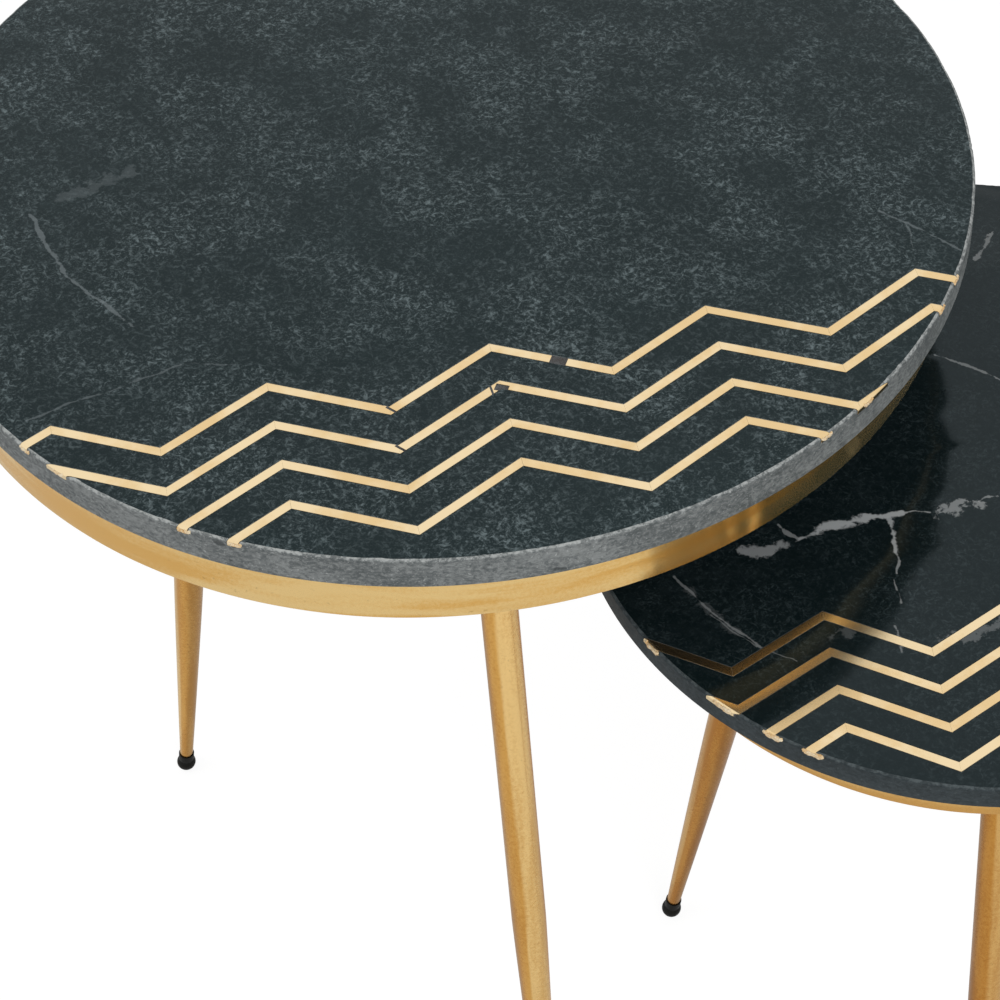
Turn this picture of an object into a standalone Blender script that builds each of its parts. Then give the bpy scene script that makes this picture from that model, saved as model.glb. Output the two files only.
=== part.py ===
"""Pair of round nesting tables: marble tops with zigzag brass inlay on three splayed brass legs.

Run it with: blender --background --python part.py

Frame: metres, +Z up, origin on the floor under the middle of the pair, +X from the large table
towards the small one, which is drawn out sideways from under it.
"""
from dataclasses import dataclass
from math import asin, cos, pi, radians, sin, sqrt, tan

import bmesh
import bpy
from mathutils import Matrix


@dataclass(frozen=True)
class Table:
    """Driving dimensions of one table of the pair."""

    name: str
    centre_x: float
    base_shift: tuple       # how far ring, board and legs sit off the marble's centre
    turn: float             # legs turned about the table's own vertical axis
    radius: float           # marble top
    height: float           # floor to top face
    slab: float             # marble thickness
    arris: float            # chamfer along the top edge of the marble
    ring_radius: float      # outside of the brass apron ring
    ring_height: float
    foot_radius: float      # table axis to the middle of a foot, on the floor
    zigzag_half: float      # half a zigzag period, along the line
    zigzag_swing: float     # zigzag depth, across the line
    line_spacing: float     # one zigzag line to the next
    band_reach: float       # table axis to the band's outermost corners
    band_turn: float        # inlay band's middle, measured from the front leg
    band_shift: float       # the band's middle corner, off its middle line
    early_turn: float       # how far short of a whole run the innermost line turns near its end


LARGE_RADIUS = 0.250
SMALL_RADIUS = 0.192
PAIR_OFFSET = 0.273         # large table axis to small table axis
LARGE_CENTRE_X = (LARGE_RADIUS - PAIR_OFFSET - SMALL_RADIUS) / 2

LARGE = Table(
    name="large", centre_x=LARGE_CENTRE_X, base_shift=(-0.0021, -0.0012), turn=radians(2.8),
    radius=LARGE_RADIUS, height=0.585, slab=0.017, arris=0.0010,
    ring_radius=0.244, ring_height=0.0265, foot_radius=0.221,
    zigzag_half=0.0490, zigzag_swing=0.0271, line_spacing=0.0233,
    band_reach=0.2273, band_turn=radians(3.6), band_shift=-0.0039,
    early_turn=0.105,
)
SMALL = Table(
    name="small", centre_x=LARGE_CENTRE_X + PAIR_OFFSET, base_shift=(0.0, 0.0),
    turn=radians(-1.6),
    radius=SMALL_RADIUS, height=0.490, slab=0.013, arris=0.0010,
    ring_radius=0.1735, ring_height=0.031, foot_radius=0.163,
    zigzag_half=0.0445, zigzag_swing=0.0263, line_spacing=0.0207,
    band_reach=0.1757, band_turn=radians(0.9), band_shift=0.0,
    early_turn=0.0,
)

GAP = 0.0003                # between pieces that touch on the real tables
LEGS = 3
FRONT_LEG = radians(300.0)
SPLAY = radians(9.0)

# Inlay
LINES = 4
STRIP_WIDTH = 0.0042
STRIP_DEPTH = 0.003
EARLY_CORNER = -4           # corner of the innermost line that the early turn moves

# Under the top
SLAB_FOOT_CHAMFER = 0.0008
RING_WALL = 0.0025
BOARD = 0.012
PLATE_RADIUS = 0.030
PLATE = 0.004
BOSS_RADIUS = 0.0085
BOSS = 0.0085
STUD_RADIUS = 0.004
STUD_IN_LEG = 0.016
SCREWS = 3
SCREW_CIRCLE = 0.021
SCREW_RADIUS = 0.0018
SCREW_HEAD_RADIUS = 0.0040
SCREW_HEAD = 0.0024
SCREW_LENGTH = 0.0125

# Legs and feet
LEG_RADIUS = 0.009
LEG_TOE_RADIUS = 0.0039
TAPER_HEIGHT = 0.223
TAPER_POWER = 1.15          # 1 is a straight cone, more eases into the plain upper shaft
LEG_EASE = 0.0006
BALL_RADIUS = 0.0059
BALL_SQUASH = 0.0006        # how far the floor flattens the ball
BORE_RADIUS = LEG_TOE_RADIUS + GAP
COLLAR_RADIUS = BORE_RADIUS + 0.0006
COLLAR_RISE = 0.0103        # ball centre to the rim of the collar
BORE_FLOOR = 0.0040         # ball centre to the bottom of the bore

WIDE_STEPS = 72
PLATE_STEPS = 24
LEG_STEPS = 20
FOOT_STEPS = 16
HOLE_STEPS = 12
PILOT_STEPS = 8
BALL_STEPS = 6
TAPER_STEPS = 4
MERGE = 0.00001
SHARP_ANGLE = radians(30.0)


# ---------------------------------------------------------------- scene, materials, booleans

def clear_scene():
    """Removes every object that the file opened with."""
    for thing in list(bpy.data.objects):
        bpy.data.objects.remove(thing)


def new_collection(name):
    """Returns a new collection linked to the scene."""
    collection = bpy.data.collections.new(name)
    bpy.context.scene.collection.children.link(collection)
    return collection


def new_material(name, colour, roughness, metallic):
    """Returns a Principled material."""
    material = bpy.data.materials.new(name)
    material.use_nodes = True
    shader = material.node_tree.nodes["Principled BSDF"]
    shader.inputs["Base Color"].default_value = (*colour, 1.0)
    shader.inputs["Roughness"].default_value = roughness
    shader.inputs["Metallic"].default_value = metallic
    return material


def evaluated_mesh(thing):
    """Returns the object's mesh with its modifiers applied, and removes the object."""
    bpy.context.view_layer.update()
    graph = bpy.context.evaluated_depsgraph_get()
    mesh = bpy.data.meshes.new_from_object(thing.evaluated_get(graph))
    bpy.data.objects.remove(thing)
    return mesh


def combined(mesh, others, operation):
    """Returns mesh cut, joined or intersected with each of the other meshes in turn."""
    for other in others:
        body = bpy.data.objects.new("body", mesh)
        tool = bpy.data.objects.new("tool", other)
        for thing in (body, tool):
            bpy.context.scene.collection.objects.link(thing)
        boolean = body.modifiers.new("boolean", "BOOLEAN")
        boolean.operation = operation
        boolean.solver = "EXACT"
        boolean.object = tool
        mesh = evaluated_mesh(body)
        bpy.data.objects.remove(tool)
    return mesh


def moved(mesh, matrix):
    """Returns a copy of the mesh moved by the matrix."""
    copy = mesh.copy()
    copy.transform(matrix)
    return copy


# ---------------------------------------------------------------- basic shapes

def turned(profile, steps, closed=False):
    """Returns the solid made by turning a profile of (radius, z) points about Z.

    An open profile starts and ends on the axis. Its outer side runs from top to bottom.
    """
    outline = bmesh.new()
    corners = [outline.verts.new((radius, 0.0, z)) for radius, z in profile]
    for start, end in zip(corners, corners[1:]):
        outline.edges.new((start, end))
    if closed:
        outline.edges.new((corners[-1], corners[0]))
    mesh = bpy.data.meshes.new("profile")
    outline.to_mesh(mesh)
    outline.free()

    thing = bpy.data.objects.new("turned", mesh)
    bpy.context.scene.collection.objects.link(thing)
    screw = thing.modifiers.new("screw", "SCREW")
    screw.axis = "Z"
    screw.steps = steps
    screw.render_steps = steps
    screw.use_merge_vertices = True
    screw.merge_threshold = MERGE
    return evaluated_mesh(thing)


def cylinder(radius, bottom, top, steps):
    """Returns a plain cylinder on Z."""
    return turned([(0.0, top), (radius, top), (radius, bottom), (0.0, bottom)], steps)


def flat_bar(outline, bottom, top):
    """Returns the solid of a flat outline of (x, y) points, from bottom to top."""
    curve = bpy.data.curves.new("outline", "CURVE")
    curve.dimensions = "2D"
    curve.fill_mode = "BOTH"
    curve.extrude = (top - bottom) / 2
    spline = curve.splines.new("POLY")
    spline.points.add(len(outline) - 1)
    for point, (x, y) in zip(spline.points, outline):
        point.co = (x, y, 0.0, 1.0)
    spline.use_cyclic_u = True

    thing = bpy.data.objects.new("bar", curve)
    bpy.context.scene.collection.objects.link(thing)
    mesh = evaluated_mesh(thing)
    welded = bmesh.new()
    welded.from_mesh(mesh)
    bmesh.ops.remove_doubles(welded, verts=welded.verts, dist=MERGE)
    bmesh.ops.recalc_face_normals(welded, faces=welded.faces)
    welded.to_mesh(mesh)
    welded.free()
    mesh.transform(Matrix.Translation((0.0, 0.0, (bottom + top) / 2)))
    return mesh


# ---------------------------------------------------------------- marble tops and inlay

def slab_blank(table):
    """Returns the uncut marble disc, with its chamfers."""
    top = table.height
    bottom = top - table.slab
    return turned([
        (0.0, top),
        (table.radius - table.arris, top),
        (table.radius, top - table.arris),
        (table.radius, bottom + SLAB_FOOT_CHAMFER),
        (table.radius - SLAB_FOOT_CHAMFER, bottom),
        (0.0, bottom),
    ], WIDE_STEPS)


def zigzag_outline(table, line, width):
    """Returns the outline of one zigzag line, past both edges of the top.

    Seen along the band's middle direction (+X), the corners alternate between a near and a far
    distance from the table's axis. Every run has the same slope, so the two sides of the strip
    are the centre line shifted along X. The innermost line may make its last turn early, part of
    a run before the rule says.
    """
    reach = table.band_reach - line * table.line_spacing
    slope_length = sqrt(table.zigzag_half ** 2 + table.zigzag_swing ** 2)
    shift = width / 2 * slope_length / table.zigzag_half
    corners = 2 * round(table.radius / table.zigzag_half / 2) + 2
    centre_line = []
    for corner in range(-corners, corners + 1):
        across = reach - table.zigzag_swing * ((corner + 1) % 2)
        along = corner * table.zigzag_half + table.band_shift
        if line == LINES - 1 and corner <= EARLY_CORNER:
            across += table.early_turn * table.zigzag_swing
            along += table.early_turn * table.zigzag_half
        centre_line.append((across, along))
    outer = [(x + shift, y) for x, y in centre_line]
    inner = [(x - shift, y) for x, y in reversed(centre_line)]
    return outer + inner


def band_direction(table):
    """Returns the rotation that puts the inlay band on its side of the top."""
    return Matrix.Rotation(FRONT_LEG + table.turn + table.band_turn, 4, "Z")


def marble_top(table):
    """Returns the marble disc with an open groove for each strip."""
    grooves = []
    for line in range(LINES):
        outline = zigzag_outline(table, line, STRIP_WIDTH + 2 * GAP)
        bar = flat_bar(outline, table.height - STRIP_DEPTH - GAP, table.height + STRIP_DEPTH)
        grooves.append(moved(bar, band_direction(table)))
    return combined(slab_blank(table), grooves, "DIFFERENCE")


def inlay_strip(table, line):
    """Returns one brass strip, cut flush with the rim of the marble."""
    outline = zigzag_outline(table, line, STRIP_WIDTH)
    bar = flat_bar(outline, table.height - STRIP_DEPTH, table.height + STRIP_DEPTH)
    return combined(moved(bar, band_direction(table)), [slab_blank(table)], "INTERSECT")


# ---------------------------------------------------------------- ring, board and leg fixings

def base_place(table):
    """Returns the frame of ring, board and legs: the table's frame, shifted on the floor."""
    return Matrix.Translation((*table.base_shift, 0.0))


def ring_top(table):
    """Returns the height of the apron ring's upper edge."""
    return table.height - table.slab - GAP


def board_bottom(table):
    """Returns the height of the base board's lower face."""
    return ring_top(table) - BOARD


def plate_bottom(table):
    """Returns the height of a leg plate's lower face."""
    return board_bottom(table) - GAP - PLATE


def apron_ring(table):
    """Returns the rolled flat bar under the marble."""
    top = ring_top(table)
    bottom = table.height - table.slab - table.ring_height
    outer = table.ring_radius
    inner = outer - RING_WALL
    corners = [(outer, top), (outer, bottom), (inner, bottom), (inner, top)]
    return turned(corners, WIDE_STEPS, closed=True)


def leg_turn(table, leg):
    """Returns the frame of one leg's side of the base, +X outwards over its foot."""
    turn = Matrix.Rotation(table.turn + FRONT_LEG + leg * 2 * pi / LEGS, 4, "Z")
    return base_place(table) @ turn


def leg_line(table, height):
    """Returns the distance from the base's axis to a leg's axis at a height."""
    return table.foot_radius - height * tan(SPLAY)


def plate_place(table, leg):
    """Returns the frame of a leg plate: the middle of its lower face, +X outwards."""
    height = plate_bottom(table)
    return leg_turn(table, leg) @ Matrix.Translation((leg_line(table, height), 0.0, height))


def screw_place(screw):
    """Returns the frame of a screw on its plate, at the middle of the head's lower face."""
    turn = Matrix.Rotation(pi + screw * 2 * pi / SCREWS, 4, "Z")
    return turn @ Matrix.Translation((SCREW_CIRCLE, 0.0, 0.0))


def screw_shape(clearance):
    """Returns a countersunk screw pointing up from its head, or the cutter for its hole.

    The cutter is larger all round and reaches below the head, so that its mouth is open.
    """
    shank = SCREW_RADIUS + clearance
    head = SCREW_HEAD_RADIUS + clearance
    profile = [
        (0.0, SCREW_LENGTH),
        (shank, SCREW_LENGTH),
        (shank, SCREW_HEAD),
        (head, 0.0),
    ]
    if clearance:
        profile.append((head, -SCREW_HEAD))
    profile.append((0.0, profile[-1][1]))
    return turned(profile, HOLE_STEPS)


def base_board(table):
    """Returns the board inside the ring, with a blind hole for every screw."""
    radius = table.ring_radius - RING_WALL - GAP
    disc = cylinder(radius, board_bottom(table), ring_top(table), WIDE_STEPS)
    board = moved(disc, base_place(table))
    holes = []
    for leg in range(LEGS):
        for screw in range(SCREWS):
            place = plate_place(table, leg) @ screw_place(screw)
            hole = cylinder(SCREW_RADIUS + GAP, PLATE / 2, SCREW_LENGTH + GAP, PILOT_STEPS)
            holes.append(moved(hole, place))
    return combined(board, holes, "DIFFERENCE")


def tilted():
    """Returns the tilt of a leg: its axis leans towards the table's axis as it rises."""
    return Matrix.Rotation(-SPLAY, 4, "Y")


def leg_plate():
    """Returns a round plate with a tilted boss and its screw holes, about its lower face."""
    plate = cylinder(PLATE_RADIUS, 0.0, PLATE, PLATE_STEPS)
    boss = moved(cylinder(BOSS_RADIUS, -BOSS, PLATE / 2, FOOT_STEPS), tilted())
    bore = moved(cylinder(STUD_RADIUS + GAP, -2 * BOSS, 2 * PLATE, HOLE_STEPS), tilted())
    holes = [moved(screw_shape(GAP), screw_place(screw)) for screw in range(SCREWS)]
    return combined(combined(plate, [boss], "UNION"), [bore, *holes], "DIFFERENCE")


def stud():
    """Returns the threaded stud between plate and leg, along the leg's axis."""
    return cylinder(STUD_RADIUS, -BOSS - STUD_IN_LEG, 0.0, HOLE_STEPS)


# ---------------------------------------------------------------- legs and feet

def leg_place(table, leg):
    """Returns the frame of a leg: its axis meets the floor at the origin, +Z up the leg."""
    foot = Matrix.Translation((table.foot_radius, 0.0, 0.0))
    return leg_turn(table, leg) @ foot @ tilted()


def ball_centre():
    """Returns the distance along the leg's axis from the floor to the middle of the ball."""
    return (BALL_RADIUS - BALL_SQUASH) / cos(SPLAY)


def leg_shaft(table):
    """Returns the turned leg: a plain upper shaft easing into a long taper."""
    top = (plate_bottom(table) / cos(SPLAY)) - BOSS - GAP
    toe = ball_centre() + BORE_FLOOR + GAP
    hole = STUD_RADIUS + GAP
    profile = [
        (0.0, top - STUD_IN_LEG - GAP),
        (hole, top - STUD_IN_LEG - GAP),
        (hole, top),
        (LEG_RADIUS - LEG_EASE, top),
        (LEG_RADIUS, top - LEG_EASE),
    ]
    for step in range(TAPER_STEPS + 1):
        down = step / TAPER_STEPS
        shrink = down ** TAPER_POWER
        profile.append((
            LEG_RADIUS + (LEG_TOE_RADIUS - LEG_RADIUS) * shrink,
            TAPER_HEIGHT + (toe - TAPER_HEIGHT) * down,
        ))
    profile.append((0.0, toe))
    return turned(profile, LEG_STEPS)


def rubber_foot():
    """Returns the rubber foot: an open collar round the toe of the leg, and a ball under it."""
    middle = ball_centre()
    rim = middle + COLLAR_RISE
    profile = [
        (0.0, middle + BORE_FLOOR),
        (BORE_RADIUS, middle + BORE_FLOOR),
        (BORE_RADIUS, rim),
        (COLLAR_RADIUS, rim),
    ]
    neck = asin(COLLAR_RADIUS / BALL_RADIUS)
    for step in range(BALL_STEPS):
        angle = neck + (pi - neck) * step / BALL_STEPS
        profile.append((BALL_RADIUS * sin(angle), middle + BALL_RADIUS * cos(angle)))
    profile.append((0.0, middle - BALL_RADIUS))
    foot = moved(turned(profile, FOOT_STEPS), tilted())
    floor = cylinder(2 * BALL_RADIUS, -2 * BALL_RADIUS, 0.0, HOLE_STEPS)
    return combined(foot, [floor], "DIFFERENCE")


# ---------------------------------------------------------------- assembly

def add_piece(collection, frame, name, mesh, material, place=Matrix.Identity(4)):
    """Adds one named piece under its table's empty."""
    if not mesh.materials:
        mesh.materials.append(material)
    mesh.shade_smooth()
    mesh.set_sharp_from_angle(angle=SHARP_ANGLE)
    thing = bpy.data.objects.new(name, mesh)
    collection.objects.link(thing)
    thing.parent = frame
    thing.matrix_local = place


def table_frame(collection, table):
    """Returns the empty on a table's vertical axis, at the floor."""
    frame = bpy.data.objects.new(f"{table.name}_table_frame", None)
    frame.location = (table.centre_x, 0.0, 0.0)
    collection.objects.link(frame)
    return frame


def build_table(collection, table, shared, materials):
    """Adds every piece of one table."""
    frame = table_frame(collection, table)
    label = table.name

    def add(name, mesh, material, place=Matrix.Identity(4)):
        add_piece(collection, frame, f"{label}_{name}", mesh, materials[material], place)

    add("marble_top", marble_top(table), "marble")
    for line in range(LINES):
        add(f"inlay_strip_{line + 1}", inlay_strip(table, line), "inlay")
    add("apron_ring", apron_ring(table), "ring", base_place(table))
    add("base_board", base_board(table), "board")

    shaft = leg_shaft(table)
    for leg in range(LEGS):
        number = leg + 1
        at_plate = plate_place(table, leg)
        on_turn = leg_turn(table, leg) @ Matrix.Translation((table.foot_radius, 0.0, 0.0))
        add(f"leg_plate_{number}", shared["plate"], "steel", at_plate)
        add(f"leg_stud_{number}", shared["stud"], "stud", at_plate @ tilted())
        add(f"leg_{number}", shaft, "leg", leg_place(table, leg))
        add(f"foot_{number}", shared["foot"], "rubber", on_turn)
        for screw in range(SCREWS):
            place = at_plate @ screw_place(screw)
            add(f"plate_screw_{number}_{screw + 1}", shared["screw"], "screw", place)


def main():
    """Builds both tables."""
    clear_scene()
    collection = new_collection("nesting_tables")
    materials = {
        "marble": new_material("dark_marble", (0.035, 0.045, 0.048), 0.35, 0.0),
        "inlay": new_material("inlay_brass", (0.78, 0.62, 0.36), 0.35, 1.0),
        "ring": new_material("ring_brass", (0.70, 0.45, 0.16), 0.35, 1.0),
        "board": new_material("black_board", (0.03, 0.03, 0.03), 0.7, 0.0),
        "steel": new_material("plate_steel", (0.35, 0.35, 0.35), 0.5, 1.0),
        "stud": new_material("stud_steel", (0.55, 0.55, 0.55), 0.4, 1.0),
        "leg": new_material("leg_brass", (0.60, 0.38, 0.14), 0.38, 1.0),
        "rubber": new_material("black_rubber", (0.02, 0.02, 0.02), 0.7, 0.0),
        "screw": new_material("screw_steel", (0.5, 0.5, 0.5), 0.4, 1.0),
    }
    shared = {
        "plate": leg_plate(),
        "stud": stud(),
        "foot": rubber_foot(),
        "screw": screw_shape(0.0),
    }
    for table in (LARGE, SMALL):
        build_table(collection, table, shared, materials)


main()
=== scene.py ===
"""Looks of a pair of round nesting tables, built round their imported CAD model.

Marble tops with a zigzag brass inlay stand on splayed brass legs. Every piece made here rides on
the body of its own table, so each table moves with all that is on it. Metres, +Z up.
"""
import logging
from dataclasses import dataclass
from enum import Enum
from math import cos, hypot, pi, radians, sin, sqrt
from typing import Iterable, Sequence

import bmesh
import bpy
from mathutils import Matrix, Vector, noise


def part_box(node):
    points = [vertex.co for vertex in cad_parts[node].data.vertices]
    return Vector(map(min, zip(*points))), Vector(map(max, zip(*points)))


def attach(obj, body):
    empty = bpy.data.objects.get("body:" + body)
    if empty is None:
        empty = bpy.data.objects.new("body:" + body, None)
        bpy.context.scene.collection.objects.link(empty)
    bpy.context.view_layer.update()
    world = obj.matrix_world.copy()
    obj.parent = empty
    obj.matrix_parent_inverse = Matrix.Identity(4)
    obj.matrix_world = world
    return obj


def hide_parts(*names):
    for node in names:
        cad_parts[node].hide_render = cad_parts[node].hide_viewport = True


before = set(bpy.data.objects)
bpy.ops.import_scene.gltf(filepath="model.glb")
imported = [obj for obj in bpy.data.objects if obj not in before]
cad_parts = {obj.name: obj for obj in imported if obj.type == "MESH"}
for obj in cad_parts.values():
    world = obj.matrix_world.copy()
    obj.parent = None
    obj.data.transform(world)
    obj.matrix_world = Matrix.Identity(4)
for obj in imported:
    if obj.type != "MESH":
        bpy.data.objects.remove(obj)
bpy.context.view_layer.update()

log = logging.getLogger("nesting_tables")

Colour = tuple[float, float, float]
Point = tuple[float, float]
Input = float | int | Sequence[float] | bpy.types.NodeSocket

MERGE = 0.000005
GAP = 0.0003                # between pieces that touch on the real tables
SHARP = radians(32.0)
CUT_SHARP = radians(13.0)   # for pieces with cuts that meet the rim at a shallow angle


# ---------------------------------------------------------------- node building

class Grain(Enum):
    """Where a finish takes the coordinates of its pattern from."""

    OBJECT = "object"       # place in the shared frame
    OWN_AXIS = "own axis"   # place about the piece's own axis, stored on its mesh


GRAIN_ATTRIBUTE = "grain"


class Nodes:
    """A node tree in the making, with short calls for the nodes that it needs."""

    def __init__(self, tree: bpy.types.NodeTree) -> None:
        """Starts from a tree of Blender's."""
        self.tree = tree

    def node(self, kind: str, inputs: dict[str | int, Input], **settings: object):
        """Adds one node.

        Args:
            kind: Blender's name for the node type.
            inputs: Value or socket for each input, by name or number.
            settings: Properties of the node.

        Returns:
            The new node.
        """
        node = self.tree.nodes.new(kind)
        for key, value in settings.items():
            setattr(node, key, value)
        for key, value in inputs.items():
            self.set(node.inputs[key], value)
        return node

    def set(self, socket: bpy.types.NodeSocket, value: Input) -> None:
        """Links a socket to an input, or gives the input a value."""
        if isinstance(value, bpy.types.NodeSocket):
            self.tree.links.new(value, socket)
        else:
            socket.default_value = value

    def math(self, operation: str, *values: Input, **settings: object) -> bpy.types.NodeSocket:
        """Returns the result of a Math node on one, two or three values."""
        inputs = dict(enumerate(values))
        return self.node("ShaderNodeMath", inputs, operation=operation, **settings).outputs[0]


class Pattern(Nodes):
    """A Principled material in the making."""

    def __init__(self, name: str, grain: Grain = Grain.OBJECT) -> None:
        """Starts an empty Principled material.

        Args:
            name: Name of the material.
            grain: Where its patterns take their coordinates from.
        """
        self.material = bpy.data.materials.new(name)
        self.material.use_nodes = True
        super().__init__(self.material.node_tree)
        self.shader = self.tree.nodes["Principled BSDF"]
        if grain is Grain.OBJECT:
            self.place = self.node("ShaderNodeTexCoord", {}).outputs["Object"]
        else:
            attribute = self.node("ShaderNodeAttribute", {}, attribute_name=GRAIN_ATTRIBUTE)
            self.place = attribute.outputs["Vector"]

    def vector(self, operation: str, *values: Input, output: str = "Vector"):
        """Returns one output of a Vector Math node."""
        inputs = dict(enumerate(values))
        return self.node("ShaderNodeVectorMath", inputs, operation=operation).outputs[output]

    def stretched(self, place: Input, stretch: Sequence[float], turn: float = 0.0):
        """Returns coordinates in which a pattern is drawn out.

        Args:
            place: Coordinates to start from.
            stretch: How many times longer the pattern is along each axis.
            turn: Turn of those axes about Z, in radians.

        Returns:
            The new coordinates.
        """
        mapping = self.node(
            "ShaderNodeMapping",
            {"Vector": place, "Rotation": (0.0, 0.0, turn), "Scale": tuple(stretch)},
            vector_type="TEXTURE",
        )
        return mapping.outputs["Vector"]

    def noise(self, place: Input, scale: float, detail: float = 2.0, roughness: float = 0.5,
              output: str = "Fac"):
        """Returns an output of a Noise Texture node."""
        inputs = {"Vector": place, "Scale": scale, "Detail": detail, "Roughness": roughness}
        return self.node("ShaderNodeTexNoise", inputs).outputs[output]

    def wandering(self, place: Input, scale: float, reach: float, detail: float = 2.0):
        """Returns coordinates pushed about by noise.

        Args:
            place: Coordinates to start from.
            scale: Scale of the noise.
            reach: Longest push, in metres.
            detail: Octaves of the noise.

        Returns:
            The new coordinates.
        """
        push = self.noise(place, scale, detail, 0.55, output="Color")
        centred = self.vector("SUBTRACT", push, (0.5, 0.5, 0.5))
        return self.vector("ADD", place, self.scaled(centred, 2.0 * reach))

    def scaled(self, place: Input, factor: Input):
        """Returns a vector times a number."""
        inputs = {0: place, "Scale": factor}
        return self.node("ShaderNodeVectorMath", inputs, operation="SCALE").outputs["Vector"]

    def ease(self, value: Input, start: float, end: float, low: float = 0.0, high: float = 1.0):
        """Returns low before start, high after end, and a smooth step between them."""
        inputs = {"Value": value, "From Min": start, "From Max": end, "To Min": low,
                  "To Max": high}
        kind = "SMOOTHSTEP"
        return self.node("ShaderNodeMapRange", inputs, interpolation_type=kind).outputs[0]

    def blend(self, share: Input, first: Input, second: Input, mode: str = "MIX"):
        """Returns a colour mixed from two."""
        inputs = {0: share, 6: opaque(first), 7: opaque(second)}
        node = self.node("ShaderNodeMix", inputs, data_type="RGBA", blend_type=mode)
        return node.outputs[2]

    def bump(self, height: Input, depth: float, below: Input | None = None):
        """Returns a normal shaped by a height map.

        Args:
            height: Height, where 1 stands for the whole depth.
            depth: Depth in metres.
            below: Normal that this one is laid over.

        Returns:
            The normal's socket.
        """
        inputs = {"Height": height, "Distance": depth, "Strength": 1.0}
        if below is not None:
            inputs["Normal"] = below
        return self.node("ShaderNodeBump", inputs).outputs["Normal"]

    def finish(self, **inputs: Input) -> bpy.types.Material:
        """Sets inputs of the Principled shader, and returns the material.

        Args:
            inputs: Values or sockets by the input's name, with _ for each space.

        Returns:
            The material.
        """
        for key, value in inputs.items():
            self.set(self.shader.inputs[key.replace("_", " ")], opaque(value))
        return self.material


def opaque(colour: Input) -> Input:
    """Returns a plain colour with its alpha, or the socket that was given."""
    if isinstance(colour, tuple) and len(colour) == 3:
        return (*colour, 1.0)
    return colour


# ---------------------------------------------------------------- finishes

@dataclass(frozen=True)
class Vein:
    """A pale vein in a marble top: one stroke, which may turn halfway.

    The start is in metres from the table's axis. The heading is in degrees, anticlockwise from
    +X, and the turn is added to it for the second half.
    """

    start: Point
    heading: float
    length: float
    width: float
    strength: float
    turn: float = 0.0
    ragged: float = 1.0     # how much of its width is eaten away or added

    @property
    def points(self) -> tuple[Point, Point, Point]:
        """The stroke's start, middle and end."""
        first, second = radians(self.heading), radians(self.heading + self.turn)
        half = self.length / 2.0
        middle = (self.start[0] + half * cos(first), self.start[1] + half * sin(first))
        return self.start, middle, (middle[0] + half * cos(second), middle[1] + half * sin(second))


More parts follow.
